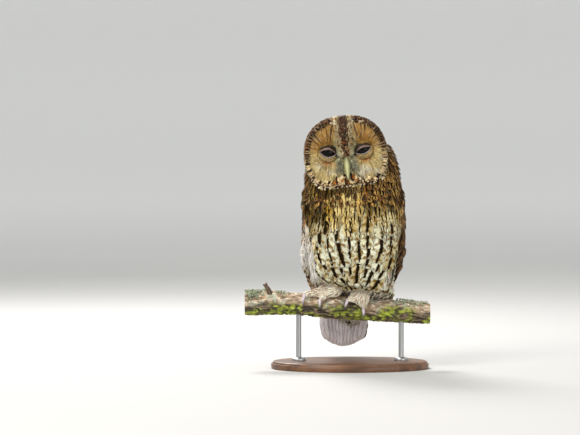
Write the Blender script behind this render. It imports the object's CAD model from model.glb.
import math
from bisect import bisect_right

import bpy
import numpy as np
from mathutils import Matrix, Vector
from mathutils.bvhtree import BVHTree
from mathutils.kdtree import KDTree


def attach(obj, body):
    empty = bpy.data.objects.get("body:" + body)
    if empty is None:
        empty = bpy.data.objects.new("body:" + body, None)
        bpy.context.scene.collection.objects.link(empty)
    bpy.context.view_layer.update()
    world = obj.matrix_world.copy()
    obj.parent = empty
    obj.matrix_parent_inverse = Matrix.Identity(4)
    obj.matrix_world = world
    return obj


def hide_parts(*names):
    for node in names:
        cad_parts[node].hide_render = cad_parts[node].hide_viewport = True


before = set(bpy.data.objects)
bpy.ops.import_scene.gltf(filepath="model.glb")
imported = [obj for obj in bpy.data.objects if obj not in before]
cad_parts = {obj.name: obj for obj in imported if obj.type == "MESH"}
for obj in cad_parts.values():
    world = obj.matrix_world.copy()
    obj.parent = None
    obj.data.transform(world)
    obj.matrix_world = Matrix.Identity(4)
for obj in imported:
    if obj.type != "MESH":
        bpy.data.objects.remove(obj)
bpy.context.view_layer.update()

# Camera and studio -----------------------------------------------------------------------------
# A long lens six metres off and a little above the bird's middle. Soft light: a broad key from the
# upper left, a weaker fill from the right, and a smaller lamp behind that draws a pale rim on the
# coat.
scene = bpy.context.scene
scene.view_settings.view_transform = "Standard"


def aimed(name, data, place, target):
    made = bpy.data.objects.new(name, data)
    scene.collection.objects.link(made)
    made.location = place
    made.rotation_euler = (Vector(target) - Vector(place)).to_track_quat("-Z", "Y").to_euler()
    return made


def soft_light(name, place, target, size, power, colour):
    data = bpy.data.lights.new(name, "AREA")
    data.shape, data.size, data.energy, data.color = "DISK", size, power, colour
    return aimed(name, data, place, target)


LENS_DISTANCE, LENS_RISE = 6.0, math.radians(2.5)
looked_at = Vector((-0.0912, 0.0, 0.2299))
lens = bpy.data.cameras.new("long lens")
lens.lens, lens.clip_end = 245.0, 100.0
behind = Vector((0.0, -math.cos(LENS_RISE), math.sin(LENS_RISE)))
scene.camera = aimed("camera", lens, looked_at + behind * LENS_DISTANCE, looked_at)
bird_middle = (0.0, 0.0, 0.24)
soft_light("key", (-1.5, -2.0, 2.1), bird_middle, 1.5, 60, (1.0, 0.96, 0.9))
soft_light("fill", (1.7, -2.3, 0.7), bird_middle, 1.8, 17, (1.0, 0.98, 0.95))
soft_light("rim", (-0.5, 1.1, 1.35), bird_middle, 0.7, 30, (1.0, 0.95, 0.93))
world = bpy.data.worlds.new("studio air")
world.use_nodes = True
world.node_tree.nodes["Background"].inputs["Color"].default_value = (0.9, 0.9, 0.89, 1)
world.node_tree.nodes["Background"].inputs["Strength"].default_value = 0.8
scene.world = world

# Floor -----------------------------------------------------------------------------------------
# A wide pale studio floor that curves up far away, so that no edge shows behind the model. Matt
# painted board, the same all round.


def dye(red, green, blue):
    """A colour mixed as the eye names it, 0 to 255, turned into light."""
    part = np.array((red, green, blue), float) / 255
    return np.where(part <= 0.04045, part / 12.92, ((part + 0.055) / 1.055) ** 2.4)


def paint(red, green, blue):
    return (*dye(red, green, blue), 1.0)


def node(tree, kind, sockets=(), **settings):
    made = tree.nodes.new("ShaderNode" + kind)
    for key, value in settings.items():
        setattr(made, key, value)
    for key, value in dict(sockets).items():
        if isinstance(value, bpy.types.NodeSocket):
            tree.links.new(value, made.inputs[key])
        else:
            made.inputs[key].default_value = value
    return made


def sum_of(tree, operation, *values, clamp=False):
    return node(tree, "Math", enumerate(values), operation=operation, use_clamp=clamp).outputs[0]


def slope(tree, value, low, high, first=0.0, last=1.0):
    """Runs softly from first to last as value goes from low to high."""
    sockets = {"Value": value, "From Min": low, "From Max": high, "To Min": first, "To Max": last}
    return node(tree, "MapRange", sockets, interpolation_type="SMOOTHSTEP").outputs["Result"]


def mix(tree, share, first, second, how="MIX"):
    sockets = {0: share, 6: first, 7: second}
    return node(tree, "Mix", sockets, data_type="RGBA", blend_type=how).outputs[2]


def flecked(tree, look, value, low, high, most, tint, how="MIX"):
    """Lays a tint over a look where value is high."""
    return mix(tree, slope(tree, value, low, high, 0.0, most), look, paint(*tint), how)


def noise(tree, place, scale, detail=3.0, roughness=0.55):
    sockets = {"Scale": scale, "Detail": detail, "Roughness": roughness}
    if place is not None:
        sockets["Vector"] = place
    return node(tree, "TexNoise", sockets).outputs["Fac"]


def stretched(tree, place, sizes):
    return node(tree, "Mapping", {"Vector": place, "Scale": sizes}).outputs["Vector"]


def where(tree):
    return node(tree, "TexCoord").outputs["Object"]


def bumped(tree, height, strength, distance):
    sockets = {"Height": height, "Strength": strength, "Distance": distance}
    return node(tree, "Bump", sockets).outputs["Normal"]


def laid(tree, name, output="Color"):
    """What a layer on the mesh's points holds."""
    return node(tree, "Attribute", attribute_name=name).outputs[output]


def wired(tree, shader, look, rough, bump):
    """Wires a shader: its colour, what its roughness follows and how, and its relief."""
    tree.links.new(look, shader["Base Color"])
    tree.links.new(slope(tree, *rough), shader["Roughness"])
    tree.links.new(bumped(tree, *bump), shader["Normal"])


def finish(name, roughness, **sockets):
    """A new material and its shader's sockets, with the even ones set."""
    made = bpy.data.materials.new(name)
    made.use_nodes = True
    shader = made.node_tree.nodes["Principled BSDF"]
    shader.inputs["Roughness"].default_value = roughness
    for key, value in sockets.items():
        shader.inputs[key.replace("_", " ")].default_value = value
    return made, made.node_tree, shader.inputs


def dressed(made, slot, *nodes):
    """Gives a piece its material slot, the solid nodes it stands for, and its body."""
    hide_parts(*nodes)
    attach(made, "root")


def shape(name, points, faces, material, crease=None):
    """A piece from its points and faces, smooth but for edges sharper than crease degrees."""
    mesh = bpy.data.meshes.new(name)
    mesh.from_pydata(np.asarray(points, float).tolist(), [], faces)
    mesh.validate()
    mesh.shade_smooth()
    if crease:
        mesh.set_sharp_from_angle(angle=math.radians(crease))
    made = bpy.data.objects.new(name, mesh)
    scene.collection.objects.link(made)
    mesh.materials.append(material)
    return made


FULL_TURN = 6.2832


def round_turns(count):
    """Even turns once round, in radians."""
    return np.linspace(0, 2 * math.pi, count, endpoint=False)


def level_ring(count, half_x, half_y, height, centre=(0.0, 0.0)):
    """Points round a level oval."""
    turns = round_turns(count)
    across, deep = centre[0] + half_x * np.cos(turns), centre[1] + half_y * np.sin(turns)
    return np.stack([across, deep, np.full(count, height)], 1)


def lofted(name, rings, material, crease=None, caps=(True, True)):
    """A skin over rings of points, with each end closed to its middle."""
    rings = np.asarray(rings, float)
    count, size = rings.shape[:2]
    points = list(rings.reshape(-1, 3))
    faces = []
    for i in range(count - 1):
        for j in range(size):
            a, b = i * size + j, i * size + (j + 1) % size
            faces.append((a, b, b + size, a + size))
    for first, wanted, turn in ((0, caps[0], -1), ((count - 1) * size, caps[1], 1)):
        if wanted:
            points.append(np.mean(points[first : first + size], axis=0))
            middle = len(points) - 1
            pairs = [(first + j, first + (j + 1) % size) for j in range(size)]
            faces += [(a, b, middle)[::turn] for a, b in pairs]
    return shape(name, points, faces, material, crease)


paper, tree, shader = finish("studio floor", 0.85)
tint = noise(tree, where(tree), 0.6)
away = node(tree, "VectorMath", {0: where(tree)}, operation="LENGTH").outputs["Value"]
painted = mix(tree, slope(tree, tint, 0.3, 0.7), paint(196, 197, 196), paint(201, 201, 199))
painted = mix(tree, slope(tree, away, 0.5, 7.0), painted, paint(240, 241, 240))
tree.links.new(painted, shader["Base Color"])
SWEEP = [(0.3, 0), (1.0, 0), (3.0, 0), (7.0, 0), (9.0, 0.05), (10.5, 0.5), (11.5, 1.5)]
SWEEP += [(12.0, 3.0), (12.2, 6.0)]
floor_rings = [level_ring(96, far, far, height) for far, height in SWEEP]
lofted("floor", floor_rings, paper, caps=(True, False))

# Stand base ------------------------------------------------------------------------------------
# An oval board of dark oiled oak under the perch, 240 by 170 mm and 12 mm thick, its upper edge
# moulded with a small step and a round. Sawn, moulded and sanded, then rubbed with oil.
BASE_LENGTH, BASE_WIDTH, BASE_HEIGHT = 0.24, 0.17, 0.012
# The edge's moulding, from the underside up: how far it stands in, and how high it is.
MOULDING = [(1.2, 0.0), (0.4, 0.0009), (0.0, 0.0022), (0.0, 0.0072), (0.5, 0.008), (1.9, 0.0084)]
MOULDING += [(2.1, 0.0092), (2.9, 0.0108), (4.4, 0.0117), (6.5, BASE_HEIGHT)]
rings = []
for inset, height in MOULDING:
    half_x, half_y = BASE_LENGTH / 2 - inset / 1000, BASE_WIDTH / 2 - inset / 1000
    rings.append(level_ring(96, half_x, half_y, height))
oak, tree, shader = finish("oiled oak", 0.42, Coat_Weight=0.12, Coat_Roughness=0.3)
grain_place = stretched(tree, where(tree), (4.0, 38.0, 20.0))
rings_seen = noise(tree, grain_place, 2.2, 4.0)
pores = noise(tree, stretched(tree, where(tree), (60.0, 900.0, 300.0)), 1.0, 2.0)
board = mix(tree, slope(tree, rings_seen, 0.32, 0.68), paint(74, 47, 30), paint(128, 88, 57))
board = flecked(tree, board, pores, 0.62, 0.72, 0.45, (44, 27, 17))
wired(tree, shader, board, (rings_seen, 0.3, 0.7, 0.36, 0.5), (pores, 0.25, 0.0003))
dressed(lofted("stand_base_board", rings, oak, crease=32), "stand_wood", "stand_base")

# Stand rods ------------------------------------------------------------------------------------
# Two brushed steel rods, 8 mm thick, let into the base through small turned collars and let into
# the underside of the branch.
steel, tree, shader = finish("brushed steel", 0.34, Metallic=1.0)
lines = noise(tree, stretched(tree, where(tree), (900.0, 900.0, 14.0)), 1.0, 2.0)
brushed = mix(tree, lines, paint(150, 151, 153), paint(190, 191, 192))
wired(tree, shader, brushed, (lines, 0.2, 0.8, 0.26, 0.44), (lines, 0.12, 0.0001))


def smooth_track(rows):
    """A smooth curve through rows of (key, value, ...), keys ascending, as a function of key."""
    keys = [row[0] for row in rows]

    def lean(i, column):
        low, high = max(i - 1, 0), min(i + 1, len(keys) - 1)
        return (rows[high][column] - rows[low][column]) / (keys[high] - keys[low])

    def at(key):
        i = max(0, min(len(keys) - 2, bisect_right(keys, key) - 1))
        span = keys[i + 1] - keys[i]
        t = min(max((key - keys[i]) / span, 0.0), 1.0)
        ends = (2 * t**3 - 3 * t**2 + 1, 3 * t**2 - 2 * t**3)
        pulls = (t**3 - 2 * t**2 + t, t**3 - t**2)

        def value(c):
            pull = pulls[0] * lean(i, c) + pulls[1] * lean(i + 1, c)
            return ends[0] * rows[i][c] + ends[1] * rows[i + 1][c] + span * pull

        return [value(c) for c in range(1, len(rows[0]))]

    return at


# The branch's middle line and thickness: x, y, z, radius.
BRANCH = smooth_track(
    [
        (-0.165, 0.0015, 0.0975, 0.0172),
        (-0.09, -0.0015, 0.099, 0.017),
        (-0.035, 0.0, 0.095, 0.0177),
        (0.03, 0.001, 0.0895, 0.0173),
        (0.125, 0.003, 0.083, 0.0158),
    ]
)
SIDES = ((-1, "right"), (1, "left"))
ROD_PLACE, ROD_RADIUS, ROD_BITE = 0.078, 0.004, 0.88
# The turned collar and the foot of its rod, from below: radius and height.
COLLAR = [(0.0113, 0.0122), (0.0113, 0.0128), (0.0109, 0.0132), (0.0109, 0.0148), (0.0104, 0.0156)]
COLLAR += [(0.008, 0.0164), (0.006, 0.0171), (0.005, 0.0176), (0.0041, 0.0177)]
COLLAR += [(ROD_RADIUS, 0.0182)]
for side, side_name in SIDES:
    x = side * ROD_PLACE
    centre_y, centre_z, radius = BRANCH(x)
    steps = [*COLLAR, (ROD_RADIUS, centre_z - radius * ROD_BITE)]
    rings = [level_ring(40, r, r, z, (x, centre_y)) for r, z in steps]
    rod = lofted(f"stand_rod_and_collar_{side_name}", rings, steel, crease=38)
    dressed(rod, "stand_steel", f"stand_rod_{side_name}")

# Perch branch ----------------------------------------------------------------------------------
# A short cut length of the branch the owl sits on, with its own bark: pale pinkish and cracked
# above, dark and ropy with moss below. Sawn clean at both ends, a broken twig left near one end.
luck = np.random.default_rng


def drift(points, size, seed, octaves=1):
    """A smooth random field, mostly -1 to 1, whose patches are about size across."""
    chance = luck(seed)
    points = np.asarray(points, float)
    total = np.zeros(points.shape[:-1])
    for octave in range(octaves):
        waves = chance.normal(size=(12, 3))
        waves *= chance.uniform(0.7, 1.4, (12, 1)) / np.linalg.norm(waves, axis=1, keepdims=True)
        turn = points @ (waves.T * (math.pi / (size * 0.5**octave))) + chance.uniform(0, 6.28, 12)
        total += np.sin(turn).sum(-1) / 4.2 * 0.55**octave
    return total


def peak(value, width):
    """1 where value is 0, falling softly away on both sides."""
    return np.exp(-((value / width) ** 2))


def eased(low, high, value):
    """Runs softly from 0 at low to 1 at high."""
    t = np.clip((np.asarray(value, float) - low) / (high - low), 0, 1)
    return t * t * (3 - 2 * t)


STUB_X = -0.118


def branch_radius(x, angle):
    lumps = 0.02 * math.sin(3 * angle + 31 * x) + 0.016 * math.sin(2 * angle - 57 * x)
    knot = 0.16 * math.exp(-(((x - STUB_X) / 0.011) ** 2)) * max(math.cos(angle - 0.5), 0)
    return BRANCH(x)[2] * (1 + lumps + knot)


def on_branch(x, degrees, lift):
    """A place above the bark: degrees is 0 on top of the branch and 90 at its front."""
    angle = math.radians(degrees)
    centre_y, centre_z, _ = BRANCH(x)
    out = branch_radius(x, angle) + lift
    return np.array((x, centre_y - out * math.sin(angle), centre_z + out * math.cos(angle)))


def set_colour(mesh, name, colours):
    """Lays one colour on each point of a mesh."""
    layer = mesh.attributes.new(name, "FLOAT_COLOR", "POINT")
    whole = np.concatenate([np.clip(colours, 0, 1), np.ones((len(colours), 1))], 1)
    layer.data.foreach_set("color", whole.astype(np.float32).ravel())


def set_vectors(mesh, name, vectors):
    """Lays one vector on each point of a mesh."""
    layer = mesh.attributes.new(name, "FLOAT_VECTOR", "POINT")
    layer.data.foreach_set("vector", np.asarray(vectors, np.float32).ravel())


AROUND, ALONG = 112, 300
RIGHT_CUT, LEFT_CUT = -0.16, 0.122
xs = np.linspace(RIGHT_CUT, LEFT_CUT, ALONG)
angles = np.linspace(0, 360, AROUND, endpoint=False)
bark_points = np.array([[on_branch(x, a, 0.0) for a in angles] for x in xs])
middle_line = bark_points.mean(axis=1, keepdims=True)
outward = bark_points - middle_line
outward /= np.linalg.norm(outward, axis=-1, keepdims=True)
wound = np.stack([bark_points[..., 0] * 0.3, bark_points[..., 1], bark_points[..., 2]], -1)
ridges = 1 - np.abs(drift(wound, 0.006, 11, 3)) * 1.7
plates = drift(wound * (2.2, 1, 1), 0.0045, 12, 2)
upper = eased(-0.15, 0.55, outward[..., 2] + 0.35 * drift(bark_points, 0.03, 13))
relief = (0.0011 * ridges - 0.0008) * (1.25 - 0.65 * upper) + 0.00035 * plates
relief += 0.0005 * drift(bark_points, 0.0022, 14)
trough = eased(0.55, 0.05, ridges)
ends = np.minimum(xs - xs[0], xs[-1] - xs) / 0.0025
relief[ends < 1] -= 0.0005 * (1 - ends[ends < 1])[:, None]
relief = np.clip(relief, -0.002, 0.0016)
bark_points = bark_points + outward * relief[..., None]
moss_share = (1 - upper) * eased(-0.7, 0.3, drift(bark_points, 0.02, 15, 2)) * (1 - 0.3 * trough)
GREY_BARK, PINK_BARK = dye(180, 154, 124), dye(252, 232, 208)
bark_shade = GREY_BARK * (0.6 + 0.7 * upper[..., None])
bark_shade = bark_shade + (PINK_BARK - GREY_BARK) * (upper * eased(-0.2, 0.7, plates))[..., None]
bark_shade = bark_shade * (1 - 0.75 * trough[..., None] * (1.0 - 0.45 * upper[..., None]))
lichen_share = upper * eased(0.45, 0.75, drift(bark_points, 0.012, 16, 2))
bark_shade += (dye(188, 196, 172) - bark_shade) * lichen_share[..., None] * 0.85
DARK_MOSS, LIGHT_MOSS = dye(56, 66, 14), dye(190, 206, 62)
cushion = eased(-0.6, 0.5, drift(bark_points, 0.0048, 17, 2))[..., None]
moss_look = DARK_MOSS + (LIGHT_MOSS - DARK_MOSS) * cushion
bark_shade += (moss_look - bark_shade) * moss_share[..., None] * 0.9
CUT_LOOPS = 7
cut_rings, cut_shades = ([], []), ([], [])
for end, face in enumerate((bark_points[0], bark_points[-1])):
    heart = face.mean(axis=0)
    for k in range(1, CUT_LOOPS):
        share = 1 - k / CUT_LOOPS
        wave = 0.00012 * np.sin(face[:, 1] * 900 + k) * (1 if k % 2 else -1)
        ring = heart + (face - heart) * (share if k > 1 else 0.965)
        ring[:, 0] += (wave + 0.0002) * (1 if end == 0 else -1)
        shade = dye(196, 160, 112) if k > 1 else dye(120, 88, 58)
        cut_rings[end].append(ring)
        cut_shades[end].append(np.tile(shade * (0.85 + 0.2 * (k % 2)), (AROUND, 1)))
all_rings = np.array(cut_rings[0][::-1] + list(bark_points) + cut_rings[1])
all_shades = np.concatenate(cut_shades[0][::-1] + list(bark_shade) + cut_shades[1])

bark, tree, shader = finish("branch bark", 0.88)
painted = laid(tree, "bark_shade")
scales = noise(tree, stretched(tree, where(tree), (90.0, 260.0, 260.0)), 1.6, 5.0, 0.65)
flecks = noise(tree, where(tree), 620.0, 3.0)
bark_look = flecked(tree, painted, scales, 0.35, 0.68, 0.55, (46, 34, 22), "MULTIPLY")
bark_look = flecked(tree, bark_look, flecks, 0.56, 0.7, 0.35, (206, 198, 178))
both = sum_of(tree, "ADD", scales, flecks)
wired(tree, shader, bark_look, (scales, 0.3, 0.7, 0.78, 0.97), (both, 0.7, 0.0006))
branch = lofted("perch_bark", all_rings, bark, crease=60)
set_colour(branch.data, "bark_shade", np.concatenate([all_shades, all_shades[:1], all_shades[-1:]]))


def line_through(stations, rings):
    """Places and radii at even steps along a smooth line through (place, radius) stations."""
    track = smooth_track([(i, *place, radius) for i, (place, radius) in enumerate(stations)])
    last = len(stations) - 1
    line = np.array([track(last * i / (rings - 1)) for i in range(rings)])
    return line[:, :3], line[:, 3]


def tube_rings(line, radii, sides, flat=1.0):
    """Rings round a line, turned along it without twisting."""
    loops, side = [], None
    turns = round_turns(sides)
    for i, (place, radius) in enumerate(zip(line, radii)):
        ahead = line[min(i + 1, len(line) - 1)] - line[max(i - 1, 0)]
        ahead = ahead / np.linalg.norm(ahead)
        if side is None:
            side = np.array(Vector(ahead).orthogonal())
        else:
            side = side - ahead * (side @ ahead)
        side = side / np.linalg.norm(side)
        up = np.cross(ahead, side)
        circle = np.outer(np.cos(turns), side) + flat * np.outer(np.sin(turns), up)
        loops.append(place + radius * circle)
    return np.array(loops)


def joined(first, *others):
    """Makes several objects one piece."""
    with bpy.context.temp_override(active_object=first, selected_editable_objects=[first, *others]):
        bpy.ops.object.join()
    return first


root, tip = on_branch(STUB_X, 28, -0.008), on_branch(STUB_X - 0.011, 28, 0.017)
TWIG_POINTS = 26
twig_stations = [(root, 0.0054), ((root + tip) / 2, 0.0041), (tip, 0.0028)]
line, radii = line_through(twig_stations, TWIG_POINTS)
radii = radii * (1 + 0.1 * drift(line * 3, 0.012, 17))
twig_rings = tube_rings(line, radii, TWIG_POINTS)
twig_rings += (twig_rings - line[:, None]) * (0.14 * drift(twig_rings, 0.003, 18, 2))[..., None]
torn = 0.9 * drift(twig_rings[-1] * 2, 0.003, 19)[:, None]
twig_rings[-1] += (twig_rings[-2] - twig_rings[-1]) * torn
twig = lofted("broken_twig", twig_rings, bark)
set_colour(twig.data, "bark_shade", np.tile(dye(120, 98, 80), (len(twig.data.vertices), 1)))
dressed(joined(branch, twig), "bark", "perch_branch")

# Skin ------------------------------------------------------------------------------------------
# The prepared skin over the modelled body: one closed surface from crown to tail and toes, lying
# under the feathers by the depth of the coat. Its face has the hollows, brow and folds of the
# real one. It is dyed at the end, from the feathers that stand in it.
FLESH = ["head", "facial_disc", "neck", "trunk", "tail"]
FLESH += [f"{part}_{side}" for part in ("wing", "primaries", "leg") for side in ("right", "left")]
HEAD_CENTRE = np.array((-0.0065, -0.008, 0.322))
HEAD = np.array(Matrix.Translation(HEAD_CENTRE) @ Matrix.Rotation(math.radians(-5.5), 4, "Y"))
HEAD_HALF_WIDTH, HEAD_RISE, HEAD_DROP = 0.064, 0.064, 0.047
FACE_DEPTH, HEAD_POWER, FACE_POWER = 0.052, 2.4, 3.2
DISH_DEPTH, DISH_REACH = 0.0125, 0.019
EYE_RADIUS = 0.0125
EYE_PLACE = np.array((0.0266, -0.0335, 0.0103))


def out_of(frame_matrix, points):
    """From a part's own frame into the model's."""
    return np.asarray(points) @ frame_matrix[:3, :3].T + frame_matrix[:3, 3]


def into(frame_matrix, points):
    return (np.asarray(points) - frame_matrix[:3, 3]) @ frame_matrix[:3, :3]


def head_way(x, y, z):
    """Ways in the head's own frame, turned into the model's."""
    return np.stack(np.broadcast_arrays(x, y, z), 1) @ HEAD[:3, :3].T


def head_share(x, z):
    """How far out a place on the face is, from 0 at its middle to 1 at the head's outline."""
    high = np.where(z > 0, HEAD_RISE, HEAD_DROP)
    across, upward = np.abs(x / HEAD_HALF_WIDTH), np.abs(z / high)
    return (across**HEAD_POWER + upward**HEAD_POWER) ** (1 / HEAD_POWER)


def face_y(x, z):
    """The feathered face's front, in the head's own frame."""
    share = np.clip(head_share(x, z), 0, 0.995)
    low = (z - EYE_PLACE[2] * 0.4) ** 2
    gaps = [(x - side * EYE_PLACE[0]) ** 2 + low for side in (-1, 1)]
    dish = sum(np.exp(-gap / (2 * DISH_REACH**2)) for gap in gaps)
    ridge = peak(x, 0.008) * eased(-0.03, 0.004, z)
    rim = peak(share - 0.91, 0.055)
    relief = 0.0055 * ridge + 0.0028 * rim - DISH_DEPTH * dish
    return -FACE_DEPTH * (1 - share**FACE_POWER) ** (1 / FACE_POWER) - relief


def points_of(mesh):
    found = np.empty(len(mesh.vertices) * 3, np.float32)
    mesh.vertices.foreach_get("co", found)
    return found.reshape(-1, 3).astype(float)


def normals_of(mesh):
    found = np.empty(len(mesh.vertices) * 3, np.float32)
    mesh.vertex_normals.foreach_get("vector", found)
    return found.reshape(-1, 3).astype(float)


def put_points(mesh, points):
    mesh.vertices.foreach_set("co", np.asarray(points, np.float32).ravel())
    mesh.update()


def smoothed(values, edges, times, keep=None):
    """Evens values over a mesh's neighbours; keep is the share of each point left as it is."""
    values = np.array(values, float)
    count = np.bincount(edges.ravel(), minlength=len(values)).astype(float)
    count = count.reshape(-1, *[1] * (values.ndim - 1))
    for _ in range(times):
        total = np.zeros_like(values)
        np.add.at(total, edges[:, 0], values[edges[:, 1]])
        np.add.at(total, edges[:, 1], values[edges[:, 0]])
        even = total / np.maximum(count, 1)
        values = even if keep is None else values * keep + even * (1 - keep)
    return values


SWELL, WEAVE_SIZE = 0.0011, 0.0021  # enough to close the gaps between the solid parts
FACE_SKIN, FACE_COAT = 0.0028, 0.0026
swelled = []
for name in FLESH:
    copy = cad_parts[name].data.copy()
    put_points(copy, points_of(copy) + normals_of(copy) * SWELL)
    made = bpy.data.objects.new("skin " + name, copy)
    scene.collection.objects.link(made)
    swelled.append(made)
skin = joined(*swelled)
skin.name = skin.data.name = "skin"
weave = skin.modifiers.new("one skin", "REMESH")
weave.mode, weave.voxel_size = "VOXEL", WEAVE_SIZE
bpy.context.view_layer.update()
whole = bpy.data.meshes.new_from_object(skin.evaluated_get(bpy.context.evaluated_depsgraph_get()))
skin.modifiers.clear()
skin.data = whole
places = points_of(whole)
edges = np.empty(len(whole.edges) * 2, np.int32)
whole.edges.foreach_get("vertices", edges)
edges = edges.reshape(-1, 2)
trees = {}
for name in FLESH:
    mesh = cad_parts[name].data
    corners = [p.vertices for p in mesh.polygons]
    trees[name] = BVHTree.FromPolygons([v.co for v in mesh.vertices], corners)
near = [[trees[n].find_nearest(p)[3] or 0.0 for n in FLESH] for p in map(Vector, places)]
near = np.array(near)
part_of_skin = near.argmin(axis=1)
COAT_DEPTH = {"head": 0.0036, "facial_disc": 0.003, "neck": 0.0055, "trunk": 0.006, "tail": 0.001}
COAT_DEPTH |= {"wing": 0.0022, "primaries": 0.0016, "leg": 0.0009}
depth = [COAT_DEPTH.get(name, COAT_DEPTH.get(name.split("_")[0])) for name in FLESH]
depth = np.array(depth)[part_of_skin]
depth = smoothed(depth, edges, 6)
places = smoothed(places - normals_of(whole) * (depth + SWELL)[:, None], edges, 3, 0.3)
on_face = into(HEAD, places)
front = face_y(on_face[:, 0], on_face[:, 2]) + FACE_SKIN
share = head_share(on_face[:, 0], on_face[:, 2])
on_x, _, on_z = on_face.T
eye_gap = [np.hypot(on_x - side * EYE_PLACE[0], on_z - EYE_PLACE[2]) for side in (-1, 1)]
eye_gap = np.min(eye_gap, axis=0)
fold = 0.0005 * np.sin(eye_gap / 0.0031 * 2 * math.pi) * peak(eye_gap - 0.0175, 0.004)
pull = (np.abs(on_face[:, 1] - front) < 0.009) * eased(0.93, 0.86, share)
pull = pull * eased(0.0125, 0.0145, eye_gap)
on_face[:, 1] += pull * (front - fold - on_face[:, 1])
places = out_of(HEAD, on_face)
put_points(whole, places)
whole.shade_smooth()
skin_normals = normals_of(whole)
skin_tree = BVHTree.FromPolygons([tuple(p) for p in places], [p.vertices for p in whole.polygons])
labels = np.array(FLESH)[part_of_skin]

# Eyes ------------------------------------------------------------------------------------------
# Two glass eyes, 25 mm across, set deep under the lids. Nearly black: a wide pupil in a very dark
# brown iris under a clear, wet cornea that stands out a little from the ball.
LID_CORNER, EYE_SIDES = 0.0112, 56
EYE_LEANS = [2, 5, *range(9, 46, 4), 50, 56, 64, 74, 86, 98, 112, 128, 144, 160, 172]
# Each eye: its side, how far up and down its lids open, and its slant, in degrees.
EYES = {"right": (-1, 19.0, 29.0, 9.0), "left": (1, 12.0, 27.0, 13.0)}


def lid_edges(name, across):
    """Angles of the upper and lower lid's edge, for a place across the eye in its slanted frame."""
    side, top, bottom, _ = EYES[name]
    inward = np.clip(-side * across / LID_CORNER, -1, 1)
    middle = (top - bottom) / 2 - 5.0 * np.clip(inward, 0, 1) ** 2 + 1.5 * np.clip(-inward, 0, 1)
    wide = np.clip(1 - (across / LID_CORNER) ** 2, 0, 1) ** 0.62
    half = (top + bottom) / 2
    return middle + 0.7 + (half - 0.7) * wide, middle - 0.7 - (half - 0.7) * wide


def eye_frame(side, slant):
    place = Vector((side * EYE_PLACE[0], EYE_PLACE[1], EYE_PLACE[2]))
    turn = Matrix.Rotation(math.radians(-side * slant), 4, "Y")
    return HEAD @ np.array(Matrix.Translation(place) @ turn)


wet = {"IOR": 1.38, "Specular_IOR_Level": 0.16, "Coat_Weight": 0.1, "Coat_Roughness": 0.03}
eye_glass, tree, shader = finish("eye glass", 0.08, **wet)
parts = node(tree, "SeparateXYZ", {0: laid(tree, "iris", "Vector")}).outputs
spun = node(tree, "CombineXYZ", {0: sum_of(tree, "MULTIPLY", parts[1], 9.0), 1: parts[0]})
fibres = noise(tree, spun.outputs[0], 3.0, 3.0)
iris_look = mix(tree, slope(tree, fibres, 0.3, 0.7), paint(10, 6, 4), paint(26, 14, 8))
iris_look = mix(tree, slope(tree, parts[0], 0.4, 0.46), paint(3, 3, 4), iris_look)
iris_look = mix(tree, slope(tree, parts[0], 0.72, 0.8), iris_look, paint(22, 17, 17))
tree.links.new(iris_look, shader["Base Color"])
for name, (side, _, _, slant) in EYES.items():
    turns = round_turns(EYE_SIDES)
    rings, spokes = [], []
    for lean in np.radians(EYE_LEANS):
        cornea = 0.03 * eased(math.radians(48), math.radians(26), lean) * math.cos(lean)
        out = EYE_RADIUS * (1 + cornea) * 0.985
        wide = np.sin(lean)
        ring = [wide * np.cos(turns), np.full(EYE_SIDES, -np.cos(lean)), wide * np.sin(turns)]
        rings.append(out_of(eye_frame(side, slant), np.stack(ring, 1) * out))
        spokes.append(np.stack([np.full(EYE_SIDES, lean), turns / FULL_TURN, turns * 0], 1))
    eye = lofted(f"eye_glass_{name}", rings, eye_glass)
    set_vectors(eye.data, "iris", np.concatenate([*spokes, np.zeros((1, 3)), np.full((1, 3), 3.0)]))
    dressed(eye, "eye", f"eye_{name}")

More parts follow.
